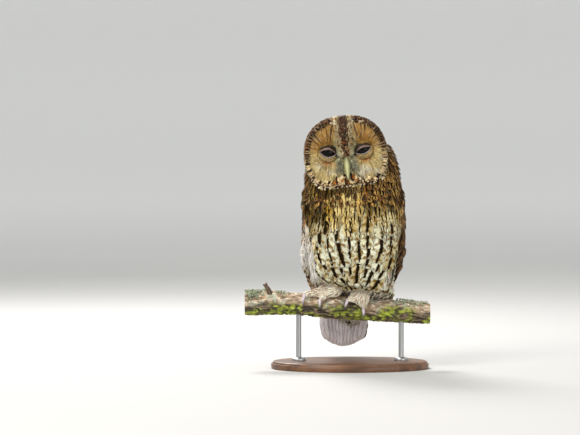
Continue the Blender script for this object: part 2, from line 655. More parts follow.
# Eyelids ---------------------------------------------------------------------------------------
# Lids of thin bare skin round each eye, an upper and a lower: pinkish grey, finely wrinkled along
# their edge, each ending in a rounded, slightly paler rim. Their outer part lies under feathers.
lid_skin, tree, shader = finish("lid skin", 0.55, Specular_IOR_Level=0.4)
wrinkles = noise(tree, where(tree), 1500.0, 3.0)
lid_look = laid(tree, "lid_tint")
lid_look = flecked(tree, lid_look, wrinkles, 0.3, 0.75, 0.5, (120, 96, 92), "MULTIPLY")
wired(tree, shader, lid_look, (wrinkles, 0.2, 0.8, 0.42, 0.66), (wrinkles, 0.4, 0.0002))
LID_NEAR, LID_THICK = EYE_RADIUS + 0.0006, 0.0011
LID_ROWS, LID_STEPS = 26, 56
for name, (side, _, _, slant) in EYES.items():
    for level, rear, rim in (("upper", 112.0, 0.55), ("lower", -112.0, 0.35)):
        upper_lid = level == "upper"
        leans = np.linspace(0, 1, LID_ROWS) ** 1.4
        alongs = np.radians(np.linspace(13, 167, LID_STEPS))
        edge = lid_edges(name, -LID_NEAR * np.cos(alongs))[0 if upper_lid else 1]
        outer, inner, tones = [], [], []
        for lean in leans:
            turn = np.radians(edge + (rear - edge) * lean)
            swell = rim * peak(lean, 0.035) - 0.35 * peak(lean - 0.075, 0.03)
            swell = swell + 0.22 * np.sin(lean * 95 + 2.2 * np.cos(alongs)) * eased(0.5, 0.1, lean)
            front = LID_NEAR + LID_THICK + 0.0003 * swell
            for grid, radius in ((outer, front), (inner, np.full(LID_STEPS, LID_NEAR))):
                across = radius * np.sin(alongs)
                ring = [-radius * np.cos(alongs), -across * np.cos(turn), across * np.sin(turn)]
                grid.append(out_of(eye_frame(side, slant), np.stack(ring, 1)))
            pale = peak(lean, 0.022) * (0.15 if upper_lid else 0.7)
            flesh = dye(138, 112, 102) if upper_lid else dye(140, 120, 108)
            crease = 0.95 * eased(0.12, 0.18, lean) if upper_lid else 0.6 * eased(0.04, 0.09, lean)
            tone = flesh * (1 - crease) + dye(40, 29, 24) * crease
            tone = tone + (dye(196, 182, 182) - tone) * pale
            tones.append(tone * (1 - 0.6 * (lean < 0.012) * upper_lid))
        loops = np.concatenate([np.array(outer), np.array(inner)[::-1]]).transpose(1, 0, 2)
        lid = lofted(f"lid_{level}_{name}", loops, lid_skin, crease=70)
        tones = np.tile(np.concatenate([tones, tones[::-1]]), (LID_STEPS, 1))
        set_colour(lid.data, "lid_tint", np.concatenate([tones, tones[:1], tones[:1]]))
        dressed(lid, "eyelid_skin", f"eyelid_{level}_{name}")

# Bill ------------------------------------------------------------------------------------------
# A short hooked bill of horn, pale yellow-green with a lighter ridge and a darker cutting edge,
# set low between the facial discs. Upper and lower halves are separate, the lower mostly hidden.
bill_horn, tree, shader = finish("bill horn", 0.34, Specular_IOR_Level=0.45)
growth = noise(tree, stretched(tree, where(tree), (1.0, 1.0, 2.6)), 420.0, 3.0)
horn_look = laid(tree, "horn_tint")
horn_look = flecked(tree, horn_look, growth, 0.35, 0.7, 0.35, (150, 146, 92), "MULTIPLY")
wired(tree, shader, horn_look, (growth, 0.2, 0.8, 0.26, 0.46), (growth, 0.2, 0.0002))
# Along each half of the bill: share, y, z, depth and half width, in the head's frame.
UPPER_BILL = [
    (0.0, -0.048, -0.002, 0.0058, 0.0052),
    (0.3, -0.0545, -0.0085, 0.0062, 0.005),
    (0.6, -0.058, -0.018, 0.005, 0.004),
    (0.85, -0.0592, -0.0268, 0.0031, 0.0024),
    (1.0, -0.0586, -0.0325, 0.0008, 0.0006),
]
LOWER_BILL = [
    (0.0, -0.0455, -0.013, 0.0048, 0.0046),
    (0.6, -0.053, -0.0215, 0.0034, 0.0035),
    (1.0, -0.056, -0.0275, 0.0012, 0.0012),
]
BILL_RINGS, BILL_SIDES = 34, 40
turns = round_turns(BILL_SIDES)
from_cut = np.abs(turns - math.pi)
for name, rows, slim in (("upper", UPPER_BILL, 1.0), ("lower", LOWER_BILL, 0.93)):
    track = smooth_track(rows)
    rings, tones = [], []
    for t in np.linspace(0, 1, BILL_RINGS):
        y, z, deep, half = track(t)
        ahead = np.array(track(min(t + 0.03, 1))[:2]) - np.array(track(max(t - 0.03, 0))[:2])
        ahead = ahead / np.linalg.norm(ahead)
        out = np.array((0.0, ahead[1], -ahead[0]))
        keel = 1 + 0.07 * np.maximum(np.cos(turns), 0) ** 6
        keel = keel - 0.05 * peak(from_cut - 1.1, 0.22)
        cere = 1 + 0.05 * math.exp(-(((t - 0.12) / 0.1) ** 2))
        sideways = 0.86 * slim * half * np.sin(turns) * (1.0 - 0.25 * np.cos(turns)) * cere
        ring = np.stack([sideways, np.full(BILL_SIDES, y), np.full(BILL_SIDES, z)], 1)
        ring = ring + out * (slim * deep * keel * np.cos(turns))[:, None]
        rings.append(out_of(HEAD, ring))
        ridge_light = np.maximum(np.cos(turns), 0)[:, None] ** 3
        tone = dye(166, 170, 112) * (1 - ridge_light) + dye(206, 204, 156) * ridge_light
        edge_dark = peak(from_cut - 1.15, 0.3)[:, None] * 0.55
        tone = tone * (1 - edge_dark) + dye(70, 66, 34) * edge_dark
        tone = tone * (1 - 0.35 * eased(0.86, 1.0, t)) * (0.34 + 0.66 * eased(0.05, 0.45, t))
        tones.append(tone)
    bill = lofted(f"bill_horn_{name}", rings, bill_horn)
    set_colour(bill.data, "horn_tint", np.concatenate([*tones, tones[0][:1], tones[-1][:1]]))
    dressed(bill, "bill_horn", f"bill_{name}")

# Claws -----------------------------------------------------------------------------------------
# Eight curved claws of smooth horn that grip the branch: lilac-white where they leave the toes
# and slate grey to the sharp tip, each with a faint groove along its underside.

# Balls and shanks: place and radii. Toes: x, degrees round the branch, lift and two radii, from the
# ball out. Claws: x, degrees and lift.
FEET = {
    "right": {
        "ball": ((-0.0255, 27, 0.0125), (0.016, 0.013, 0.0125)),
        "shank": ((-0.0215, -0.002, 0.15), 0.0125),
        "toes": [
            [
                (-0.034, 30, 0.0115, 0.009),
                (-0.052, 38, 0.0085, 0.0066),
                (-0.0685, 46, 0.0056, 0.0046),
            ],
            [
                (-0.032, 36, 0.011, 0.009),
                (-0.0405, 50, 0.008, 0.007),
                (-0.0452, 62, 0.0056, 0.0048),
            ],
            [
                (-0.022, 8, 0.0105, 0.008),
                (-0.017, -38, 0.0075, 0.0062),
                (-0.016, -72, 0.0052, 0.0045),
            ],
            [
                (-0.03, 8, 0.0105, 0.008),
                (-0.04, -32, 0.0075, 0.0062),
                (-0.047, -64, 0.0052, 0.0045),
            ],
        ],
        "claws": [
            [(-0.069, 45, 0.0052), (-0.0716, 80, 0.0052), (-0.0672, 111, 0.001)],
            [(-0.0454, 61, 0.0052), (-0.046, 88, 0.0054), (-0.0428, 114, 0.001)],
            [(-0.016, -71, 0.005), (-0.0155, -98, 0.005), (-0.0165, -122, 0.001)],
            [(-0.0472, -63, 0.005), (-0.05, -92, 0.005), (-0.048, -118, 0.001)],
        ],
    },
    "left": {
        "ball": ((0.0165, 50, 0.0115), (0.0145, 0.012, 0.012)),
        "shank": ((0.023, -0.002, 0.135), 0.012),
        "toes": [
            [(0.01, 48, 0.0105, 0.0082), (0.0025, 51, 0.008, 0.0066), (-0.003, 55, 0.0056, 0.0047)],
            [(0.018, 58, 0.0105, 0.0082), (0.0195, 70, 0.008, 0.0068), (0.02, 82, 0.0056, 0.0048)],
            [(0.02, 20, 0.01, 0.008), (0.016, -34, 0.0075, 0.0062), (0.015, -70, 0.0052, 0.0045)],
            [(0.024, 20, 0.01, 0.008), (0.036, -30, 0.0075, 0.0062), (0.044, -62, 0.0052, 0.0045)],
        ],
        "claws": [
            [(-0.0032, 54, 0.0052), (-0.007, 80, 0.0054), (-0.008, 105, 0.001)],
            [(0.02, 81, 0.0052), (0.0205, 108, 0.0056), (0.02, 136, 0.001)],
            [(0.015, -69, 0.005), (0.0145, -96, 0.005), (0.0155, -120, 0.001)],
            [(0.0442, -61, 0.005), (0.047, -90, 0.005), (0.045, -116, 0.001)],
        ],
    },
}
claw_horn, tree, shader = finish(
    "claw horn", 0.28, Specular_IOR_Level=0.5, Coat_Weight=0.25, Coat_Roughness=0.2
)
growth = noise(tree, where(tree), 900.0, 3.0)
claw_look = laid(tree, "claw_tint")
claw_look = flecked(tree, claw_look, growth, 0.35, 0.7, 0.3, (140, 132, 140), "MULTIPLY")
wired(tree, shader, claw_look, (growth, 0.2, 0.8, 0.2, 0.4), (growth, 0.15, 0.0001))
CLAW_RADII, CLAW_RINGS, CLAW_SIDES = (0.0027, 0.0018, 0.0004), 26, 22
darkening = eased(0.25, 0.75, np.linspace(0, 1, CLAW_RINGS))
for side_name, plan in FEET.items():
    for number, spots in enumerate(plan["claws"], start=1):
        stations = [(on_branch(*spot), r) for spot, r in zip(spots, CLAW_RADII)]
        line, radii = line_through(stations, CLAW_RINGS)
        rings = tube_rings(line, radii * 0.985, CLAW_SIDES, flat=0.9)
        tones = [dye(214, 202, 212) * (1 - g) + dye(44, 42, 48) * g for g in darkening]
        claw = lofted(f"claw_horn_{side_name}_{number}", rings, claw_horn)
        tinted = np.concatenate([np.repeat(tones, CLAW_SIDES, axis=0), tones[:1], tones[-1:]])
        set_colour(claw.data, "claw_tint", tinted)
        dressed(claw, "claw_horn", f"claw_{side_name}_{number}")

# Facial disc -----------------------------------------------------------------------------------
# Fine, hair-like feathers that radiate from each eye to the rim of its disc, in overlapping
# rounds, over the dished skin and the outer part of the lids. Rufous above, buff below, with the
# pale cross of brow and whisker lines between the eyes.


def unit(rows):
    return rows / np.maximum(np.linalg.norm(rows, axis=-1, keepdims=True), 1e-12)


corner_of_face = np.empty(len(whole.loops), np.int32)
whole.loops.foreach_get("vertex_index", corner_of_face)
face_normals = unit(skin_normals[corner_of_face.reshape(-1, 4)].sum(axis=1))


def on_skin(points):
    """The nearest places on the skin, and which way is out there."""
    found = [skin_tree.find_nearest(Vector(p)) for p in points]
    return np.array([f[0] for f in found]), face_normals[[f[2] for f in found]]


def grow(roots, lie, lengths, steps, ground=on_skin, stray=0.0):
    """Lines from the roots along the skin, as feathers lie there, and the way out at each step."""
    places, ups = ground(roots)
    line, out = [places], [ups]
    own = (stray, np.asarray(lengths) / steps)
    stray, stride = (np.broadcast_to(x, (len(roots),))[:, None] for x in own)
    for _ in range(steps):
        way = lie(places)
        way = unit(way - ups * (way * ups).sum(1, keepdims=True))
        way = way * np.cos(stray) + np.cross(ups, way) * np.sin(stray)
        places, ups = ground(places + way * stride)
        line.append(places)
        out.append(ups)
    return np.stack(line, 1), np.stack(out, 1)


def grown_by(chance, roots, lie, long, vary, steps, turn):
    """Lines of uneven length and a little astray."""
    lengths = long * chance.uniform(*vary, len(roots))
    return grow(roots, lie, lengths, steps, stray=chance.normal(0, turn, len(roots)))


def along(line, shares):
    """Places at shares of the way along each line, on a smooth curve."""
    last = line.shape[1] - 1
    before, after = 2 * line[:, :1] - line[:, 1:2], 2 * line[:, -1:] - line[:, -2:-1]
    line = np.concatenate([before, line, after], 1)
    at = np.clip(np.asarray(shares) * last, 0, last - 1e-9)
    i = at.astype(int)
    t = (at - i)[None, :, None]
    a, b, c, d = (line[:, i + k] for k in range(4))
    bend, twist = 2 * a - 5 * b + 4 * c - d, 3 * b - a - 3 * c + d
    return 0.5 * (2 * b + (c - a) * t + bend * t**2 + twist * t**3)


SMALLEST_PATCH = 0.003


def bake_places(roots, size):
    """Each feather's own spot on the unwrapped skin, by its height and its turn round the body."""
    count = len(roots)
    across = math.ceil(math.sqrt(count))
    spots = np.empty((count, 2))
    by_height = np.argsort(roots[:, 2], kind="stable")
    for row in range(math.ceil(count / across)):
        level = by_height[row * across : (row + 1) * across]
        turn = np.arctan2(roots[level, 0], -roots[level, 1])
        level = level[np.argsort(turn, kind="stable")]
        spots[level, 0] = (np.arange(len(level)) + 0.5) / across
        spots[level, 1] = (row + 0.5) / across
    return spots, min(max(size, SMALLEST_PATCH), 0.8 / across)


def mesh_of(name, points, corners, starts, material):
    mesh = bpy.data.meshes.new(name)
    mesh.vertices.add(len(points))
    mesh.vertices.foreach_set("co", np.asarray(points, np.float32).ravel())
    mesh.loops.add(len(corners))
    mesh.loops.foreach_set("vertex_index", np.asarray(corners, np.int32))
    mesh.polygons.add(len(starts))
    mesh.polygons.foreach_set("loop_start", np.asarray(starts, np.int32))
    mesh.update(calc_edges=True)
    mesh.shade_smooth()
    made = bpy.data.objects.new(name, mesh)
    scene.collection.objects.link(made)
    mesh.materials.append(material)
    return made


feathers_laid = []  # places and colours of every group, to dye the skin by
# How a feather is shaped where its group doesn't say otherwise. Lengths are in metres, the rest
# are shares of its own length or width.
USUAL_FORM = {
    "crowd": 1.35,  # how much closer its rows of points stand towards the tip
    "neck": 0.35,  # how wide the root is
    "fill": 0.4,  # where the full width is reached
    "round": 0.6,  # where the tip starts
    "square": 2.0,  # how blunt the tip is
    "point": 0.1,  # how wide the very end is
    "fray": 0.12,  # how uneven the sides are
    "jag": 0.0006,  # how uneven the tip is
    "rise": 0.8,  # how late it lifts off the body
    "curl": 0.0,  # how far the tip lifts besides
    "ripple": 0.0,  # how uneven the face is
    "roll": 0.07,  # how far it may turn about its shaft
    "thick": 0.0002,
    "sweep": 0.3,  # how far the sides run ahead of the shaft
    "camber": 0.2,  # how far the sides fall below it
    "patch": SMALLEST_PATCH,  # its size in the bake layout
}


def feathers(
    name, grown, width, material, ground, pattern, form, seed=1, base=None, stand=1.0
):
    """Lays one closed, thin feather or lock on each line, and makes them one piece.

    ground is each feather's colour, and base that of its root. pattern says how strong its streak,
    bars and fringe are. form has the columns and rows of points, the lift of root and tip above
    the skin, and what differs from the usual form."""
    form = USUAL_FORM | form
    line, up = grown
    count = len(line)
    chance = luck(seed)
    columns, rows = form["columns"], form["rows"]
    shares = 1 - (1 - np.linspace(0, 1, rows)) ** form["crowd"]
    centre, up = along(line, shares), unit(along(up, shares))
    ahead = unit(np.gradient(centre, axis=1))
    side = unit(np.cross(up, ahead))
    neck = form["neck"] + (1 - form["neck"]) * eased(0, form["fill"], shares)
    tip = np.clip((shares - form["round"]) / (1 - form["round"]), 0, 1)
    square = form["square"]
    profile = np.maximum(neck * (1 - tip**square) ** (1 / square), form["point"])
    half = np.broadcast_to(width, (count,))[:, None] * profile
    u = np.linspace(-1, 1, columns)
    fray = form["fray"] * (0.35 + 0.65 * shares)
    ragged = 1 + fray[None, :, None] * chance.uniform(-1, 1, (count, rows, 2))
    ragged = 1 + (np.where(u < 0, ragged[..., :1], ragged[..., 1:]) - 1) * u**2
    low, high = (np.broadcast_to(x, (count,))[:, None] for x in form["lift"])
    rise = low + (high - low) * shares ** form["rise"] * np.broadcast_to(stand, (count,))[:, None]
    rise = rise + form["curl"] * shares**4
    ripple = form["ripple"] * chance.uniform(-1, 1, (count, rows, columns))
    roll = chance.normal(0, form["roll"], (count, 1, 1)) * u * half[..., None] * shares[:, None]
    thick = form["thick"] * (1 - u**2) * (1.2 - 0.7 * shares[:, None])
    flat = side[:, :, None] * (u * half[..., None] * ragged)[..., None]
    swept = form["sweep"] * np.abs(u) * half[..., None] * eased(0, 0.3, shares)[None, :, None]
    swept = ahead[:, :, None] * swept[..., None]
    height = rise[..., None] - form["camber"] * half[..., None] * u**2 + ripple + roll
    jag = form["jag"] * chance.uniform(-1, 1, (count, 1, columns))
    jag = jag * eased(0.55, 1, shares)[None, :, None]
    middle = centre[:, :, None] + flat + swept + ahead[:, :, None] * jag[..., None]
    top = middle + up[:, :, None] * (height + thick)[..., None]
    under = middle + up[:, :, None] * (height - thick)[..., None]
    points = np.concatenate([top, under[:, :, -2:0:-1]], axis=2)
    ring = points.shape[2]
    u_ring = np.concatenate([u, u[-2:0:-1]])
    step = np.arange(ring)
    quads = np.stack([step, step + ring, (step + 1) % ring + ring, (step + 1) % ring], 1)
    quads = (quads[None] + (np.arange(rows - 1) * ring)[:, None, None]).reshape(-1)
    one = np.concatenate([quads, step, step[::-1] + (rows - 1) * ring])
    totals = np.concatenate([np.full((rows - 1) * ring, 4), (ring, ring)])
    first = np.concatenate([[0], np.cumsum(totals)[:-1]])
    size = rows * ring
    corners = (one[None] + (np.arange(count) * size)[:, None]).ravel()
    starts = (first[None] + (np.arange(count) * len(one))[:, None]).ravel()
    made = mesh_of(name, points.reshape(-1, 3), corners, starts, material)
    mesh = made.data
    tone = chance.uniform(0.8, 1.18, (count, 1))
    ground = np.clip(np.asarray(ground) * tone, 0, 1)
    base = ground * 0.45 if base is None else np.broadcast_to(base, ground.shape)
    blend = eased(0.05, 0.5, shares)[None, :, None]
    colours = ground[:, None] * blend + base[:, None] * (1 - blend)
    set_colour(mesh, "ground", np.repeat(colours[:, :, None], ring, axis=2).reshape(-1, 3))
    own = chance.uniform(0, 1, (count, 1, 1))
    set_vectors(mesh, "vane", np.stack(np.broadcast_arrays(u_ring, shares[:, None], own), -1))
    wanted = np.broadcast_to(np.asarray(pattern, float), (count, 3))[:, None]
    wanted = np.broadcast_to(wanted, (count, size, 3)).astype(np.float32)
    set_vectors(mesh, "pattern", wanted)
    spots, patch = bake_places(line[:, 0], form["patch"])
    flat_places = np.stack(np.broadcast_arrays(u_ring * 0.5, shares[:, None] - 0.5), -1)
    flat_places = (spots[:, None] + flat_places.reshape(1, size, 2) * patch).reshape(-1, 2)
    baked = flat_places[corners].astype(np.float32).ravel()
    mesh.uv_layers.new(name="OFBake").uv.foreach_set("vector", baked)
    feathers_laid.append((line[:, 1], ground * (1 - 0.35 * wanted[:, 0, :1])))
    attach(made, "root")
    return made


def vane_marks():
    """What a feather's face shows: barbs swept from the shaft, a streak, bars and a pale fringe."""
    tree = bpy.data.node_groups.new("vane marks", "ShaderNodeTree")
    kinds = {"Ground": "Color", "Vane": "Vector", "Pattern": "Vector", "Streak": "Color"}
    kinds |= {"Bar": "Color", "Fringe": "Color", "Bars": "Float", "Barbs": "Float"}
    kinds |= {"Reach": "Float", "Halo": "Float"}
    for name, kind in kinds.items():
        tree.interface.new_socket(name, in_out="INPUT", socket_type=f"NodeSocket{kind}")
    for name, kind in (("Look", "Color"), ("Relief", "Float")):
        tree.interface.new_socket(name, in_out="OUTPUT", socket_type=f"NodeSocket{kind}")

    def times(first, second):
        return sum_of(tree, "MULTIPLY", first, second)

    def plus(first, second):
        return sum_of(tree, "ADD", first, second)

    def less(first, second):
        return sum_of(tree, "SUBTRACT", first, second)

    def spread(*values):
        return node(tree, "CombineXYZ", enumerate(values)).outputs[0]

    given = tree.nodes.new("NodeGroupInput").outputs
    u, v, seed = node(tree, "SeparateXYZ", {0: given["Vane"]}).outputs
    streak, bars, fringe = node(tree, "SeparateXYZ", {0: given["Pattern"]}).outputs
    out = sum_of(tree, "ABSOLUTE", u)
    own = times(seed, 61.0)
    barb = times(less(v, times(out, 0.22)), given["Barbs"])
    strand = noise(tree, spread(barb, times(u, 1.3), own), 1.0, 2.0)
    wobble = noise(tree, spread(times(v, 7.0), times(u, 2.4), own), 1.0, 2.0)
    edge = plus(out, times(less(strand, 0.5), 0.3))
    edge = plus(edge, times(less(wobble, 0.5), 0.25))
    wide = times(streak, slope(tree, v, 0.88, 1.0, 1.0, 0.75))
    inside = slope(tree, less(wide, edge), -0.07, 0.05)
    inside = times(inside, slope(tree, streak, 0.01, 0.05))
    phase = times(v, given["Bars"])
    phase = plus(phase, times(out, -0.22))
    phase = plus(phase, times(wobble, 0.55))
    phase = plus(phase, times(seed, 0.25))
    wave = sum_of(tree, "SINE", times(phase, FULL_TURN))
    patchy = noise(tree, spread(times(v, 5.0), times(u, 1.6), plus(own, 9.0)), 1.0, 1.0)
    barred = times(slope(tree, wave, 0.0, 0.6), bars)
    barred = times(barred, slope(tree, patchy, 0.32, 0.52, 0.12, 1.0))
    barred = times(barred, slope(tree, less(given["Reach"], out), 0.0, 0.35))
    halo = slope(tree, less(plus(wide, 0.2), edge), -0.1, 0.14)
    halo = times(halo, times(slope(tree, patchy, 0.4, 0.6), given["Halo"]))
    barred = sum_of(tree, "MAXIMUM", barred, halo)
    rim = sum_of(tree, "MAXIMUM", out, slope(tree, v, 0.55, 1.05))
    rim = times(slope(tree, plus(rim, times(strand, 0.25)), 0.85, 1.12), fringe)
    shade = slope(tree, strand, 0.25, 0.75, 0.74, 1.18)
    grey = node(tree, "CombineColor", {0: shade, 1: shade, 2: shade}).outputs[0]
    look = mix(tree, 1.0, given["Ground"], grey, "MULTIPLY")
    look = mix(tree, rim, look, given["Fringe"])
    look = mix(tree, barred, look, given["Bar"])
    look = mix(tree, inside, look, given["Streak"])
    relief = plus(strand, slope(tree, out, 0.1, 0.0, 0.0, 0.5))
    result = tree.nodes.new("NodeGroupOutput")
    tree.links.new(look, result.inputs["Look"])
    tree.links.new(relief, result.inputs["Relief"])
    return tree


marks = vane_marks()


def feather_finish(
    name, streak, bar, fringe, bars, barbs,
    roughness=0.78, relief=0.45, reach=2.0, halo=0.0, sheen=0.02,
):
    """A feather's material: the colours of its streak, bars and fringe, then how many bars and
    barbs it has, how far out its bars reach, and how strong the halo beside its streak is."""
    soft = {"Specular_IOR_Level": 0.05, "Sheen_Weight": sheen, "Sheen_Roughness": 0.45}
    made, tree, shader = finish(name, roughness, **soft)
    face = tree.nodes.new("ShaderNodeGroup")
    face.node_tree = marks
    for socket, output in (("Ground", "Color"), ("Vane", "Vector"), ("Pattern", "Vector")):
        tree.links.new(laid(tree, socket.lower(), output), face.inputs[socket])
    given = {"Streak": paint(*streak), "Bar": paint(*bar), "Fringe": paint(*fringe)}
    given |= {"Bars": bars, "Barbs": barbs, "Reach": reach, "Halo": halo}
    for socket, value in given.items():
        face.inputs[socket].default_value = value
    raised = face.outputs["Relief"]
    rough = (raised, 0.2, 1.0, roughness + 0.1, roughness - 0.1)
    wired(tree, shader, face.outputs["Look"], rough, (raised, relief, 0.0003))
    return made


def as_light(tint):
    """A colour as the eye names it is a tuple; anything else is light already."""
    return dye(*tint) if isinstance(tint, tuple) else np.asarray(tint, float)


def layered(colour, *layers):
    """Lays tints over a colour one after another, each by its own share at every place."""
    colour = as_light(colour)
    for share, tint in layers:
        share = np.asarray(share, float)[..., None]
        colour = colour * (1 - share) + as_light(tint) * share
    return colour


LID_REACH, LID_BLEND = 0.0138, 0.0022


def face_ground(x, z):
    """How far forward the face lies, in the head's frame: the skin, or a lid that juts out more."""
    front = face_y(x, z) + FACE_COAT
    for side in (-1, 1):
        gap = (x - side * EYE_PLACE[0]) ** 2 + (z - EYE_PLACE[2]) ** 2
        lid = EYE_PLACE[1] - np.sqrt(np.clip((LID_NEAR + LID_THICK) ** 2 - gap, 1e-7, 1))
        lid = lid + 0.03 * (gap > LID_REACH**2)
        share = np.clip(0.5 + 0.5 * (front - lid) / LID_BLEND, 0, 1)
        front = front * (1 - share) + lid * share - LID_BLEND * share * (1 - share)
    return front


def on_face_front(points):
    """Straight in from the front to the face or a lid, and which way is out there."""
    x, _, z = into(HEAD, points).T
    y = face_ground(x, z)
    near = 0.0012
    lean_x = (face_ground(x + near, z) - face_ground(x - near, z)) / (2 * near)
    lean_z = (face_ground(x, z + near) - face_ground(x, z - near)) / (2 * near)
    out = unit(np.stack([lean_x, -np.ones_like(x), lean_z], 1))
    return out_of(HEAD, np.stack([x, y, z], 1)), head_way(*out.T)


def about_eye(points, side):
    """Distance from the eye, turn round it in degrees (0 outward, 90 up), across and up."""
    x, _, z = into(HEAD, points).T
    across, up = (x - side * EYE_PLACE[0]) * side, z - EYE_PLACE[2]
    return np.hypot(across, up), np.degrees(np.arctan2(up, across)), across, up


def in_eye(points, side_name):
    """Across and up in an eye's own slanted frame, then how far above and below its opening."""
    side, _, _, slant = EYES[side_name]
    at = into(eye_frame(side, slant), points)
    reach = np.sqrt(np.clip((LID_NEAR + LID_THICK) ** 2 - at[:, 0] ** 2, 0, 1))
    top, low = (reach * np.sin(np.radians(e)) for e in lid_edges(side_name, at[:, 0]))
    return at[:, 0] * side, at[:, 2], at[:, 2] - top, low - at[:, 2]


def disc_look(points, side, side_name):
    """The facial disc's colours: rufous over buff, the pale cross, rays, and dark lid folds."""
    out, turn, across, up = about_eye(points, side)
    x, _, z = into(HEAD, points).T
    share = head_share(x, z)
    streaky = drift(np.stack([np.radians(turn) * 0.02, out * 0.1, turn * 0], 1), 0.0016, 31 + side)
    high = eased(-0.006, 0.012, up)
    buff, tan, rufous = dye(246, 222, 156), dye(226, 188, 112), dye(214, 162, 80)
    colour = layered(
        buff,
        (high, rufous),
        (0.55 * high * eased(0.62, 0.86, share), tan),
        (0.45 * eased(0.019, 0.012, out), (196, 164, 96)),
    )
    under = peak(out - 0.0165, 0.0035) * eased(45, 10, np.abs(turn + 80)) * 0.8
    colour = layered(colour, (under, (216, 132, 62)))
    pale_cross = peak(across + 0.0115 + 0.1 * up, 0.0036) * eased(0.0, 0.006, up)
    pale_cross = pale_cross * eased(0.034, 0.018, up)
    colour = layered(colour, (0.85 * pale_cross, (242, 232, 180)))
    beside = eased(0.02, 0.01, np.abs(x) + 0.12 * (up + 0.02)) * eased(0.002, -0.008, up)
    beside = 0.8 * beside * eased(-0.6, 0.3, drift(points, 0.006, 34))
    colour = layered(colour, (beside, (208, 210, 184)))
    lower = eased(-0.008, -0.02, up) * eased(0.0, 0.6, drift(points, 0.012, 33))
    colour = layered(
        colour,
        (0.7 * lower, (250, 246, 230)),
        (0.65 * eased(0.76, 0.9, share) * eased(-0.01, 0.02, up), (128, 84, 42)),
    )
    ray = eased(0.25, 0.72, streaky) * eased(0.013, 0.022, out) * (0.5 + 0.5 * high)
    colour = layered(colour, (0.9 * ray, (74, 46, 26)))
    beyond, _, above, _ = in_eye(points, side_name)
    inner_end = 0.0026 * eased(0.002, -0.009, beyond)
    crease = eased(0.001, 0.002, above) * eased(0.008 + inner_end, 0.0058 + inner_end, above)
    crease = crease * eased(0.0155, 0.011, np.abs(beyond))
    corner = peak(np.hypot(beyond + 0.0128, (above - 0.0005) * 0.5), 0.0027)
    tear = 0.8 * np.exp(-(((beyond + 0.016) / 0.0026) ** 2) - ((above + 0.0042) / 0.002) ** 2)
    colour = layered(colour, (0.95 * np.clip(crease + corner + tear, 0, 1), (22, 16, 12)))
    return colour * (1 + 0.14 * streaky[:, None])


DISC_ROUNDS = (0.004, 0.062, 0.0014)  # from the eye, to the rim, step
disc_finish = feather_finish(
    "disc feathers", (60, 40, 26), (120, 78, 44), (226, 214, 186), 2.0, 9.0, 0.82, 0.15
)
for side, side_name in SIDES:
    chance = luck(40 + side)
    spots = []
    for out in np.arange(*DISC_ROUNDS):
        spacing = 0.00072 + 0.0062 * max(out - 0.012, 0)
        count = int(2 * math.pi * out / spacing)
        order = np.arange(count) + chance.uniform(-0.35, 0.35, count) + 0.5 * len(spots)
        turn = 2 * math.pi * order / count
        reach = out + chance.uniform(-0.0007, 0.0007, count)
        x, z = side * (EYE_PLACE[0] + reach * np.cos(turn)), EYE_PLACE[2] + reach * np.sin(turn)
        spots.append(np.stack([x, np.full(count, EYE_PLACE[1]), z], 1))
    spots = np.concatenate(spots)
    share = head_share(spots[:, 0], spots[:, 2])
    inside_rim = share < 0.9 - 0.07 * eased(0.02, 0.05, spots[:, 2])
    beside_brow = spots[:, 0] * side > 0.0024 + 0.005 * eased(0.0, 0.055, spots[:, 2])
    over_chin = spots[:, 2] > -0.0195 - 0.018 * eased(0.014, 0.036, np.abs(spots[:, 0]))
    beyond, _, above, below = in_eye(out_of(HEAD, spots), side_name)
    off_lids = (above > 0.0019 - 0.0011 * eased(0.0, -0.009, beyond)) | (below > 0.0007)
    off_lids |= np.abs(beyond) > LID_CORNER + 0.0006
    keep = inside_rim & beside_brow & over_chin & off_lids
    roots = out_of(HEAD, spots[keep])
    gone = np.hypot(*(spots[keep] - EYE_PLACE * (side, 1, 1))[:, (0, 2)].T)
    lengths = 0.003 + 0.32 * np.clip(gone - 0.0075, 0, 0.0125)
    lengths = lengths + 0.1 * np.clip(gone - 0.02, 0, 0.03)

    def from_eye(points, side=side):
        on_head = into(HEAD, points)
        way = on_head - EYE_PLACE * (side, 1, 1)
        way[:, 1] = 0
        way = unit(way)
        near_bill = eased(0.016, 0.006, on_head[:, 0] * side)
        none = 0 * way[:, 0]
        aside = np.stack([0.25 * side + none, none, np.sign(on_head[:, 2] - 0.002) * 0.7], 1)
        way += near_bill[:, None] * aside
        return way @ HEAD[:3, :3].T

    grown = grow(roots, from_eye, lengths, 3, on_face_front, chance.normal(0, 0.06, len(roots)))
    look = disc_look(grown[0][:, 2], side, side_name)
    pick = chance.uniform(0, 1, len(roots))
    look[pick < 0.13] *= 0.5
    light = (pick > 0.86) & (gone > 0.016)
    look[light] = layered(look[light], (np.full(light.sum(), 0.45), (255, 246, 214)))
    form = dict(
        columns=3, rows=5, lift=(0.0001, 0.0024), rise=1.1, neck=0.5, round=0.25, square=1.4,
        camber=0.35, fray=0.3, point=0.06, sweep=0.1, curl=0.0004,
    )
    width = chance.uniform(0.0003, 0.0005, len(roots))
    width = width * (0.75 + 70 * np.clip(lengths - 0.005, 0, 0.007))
    stand = chance.uniform(0.6, 1.1, len(roots)) * (0.35 + 0.65 * eased(0.008, 0.016, gone))
    name = f"disc_feathers_{side_name}"
    feathers(
        name, grown, width, disc_finish, look, (0, 0, 0.2), form, 50 + side,
        base=look * 0.9, stand=stand,
    )

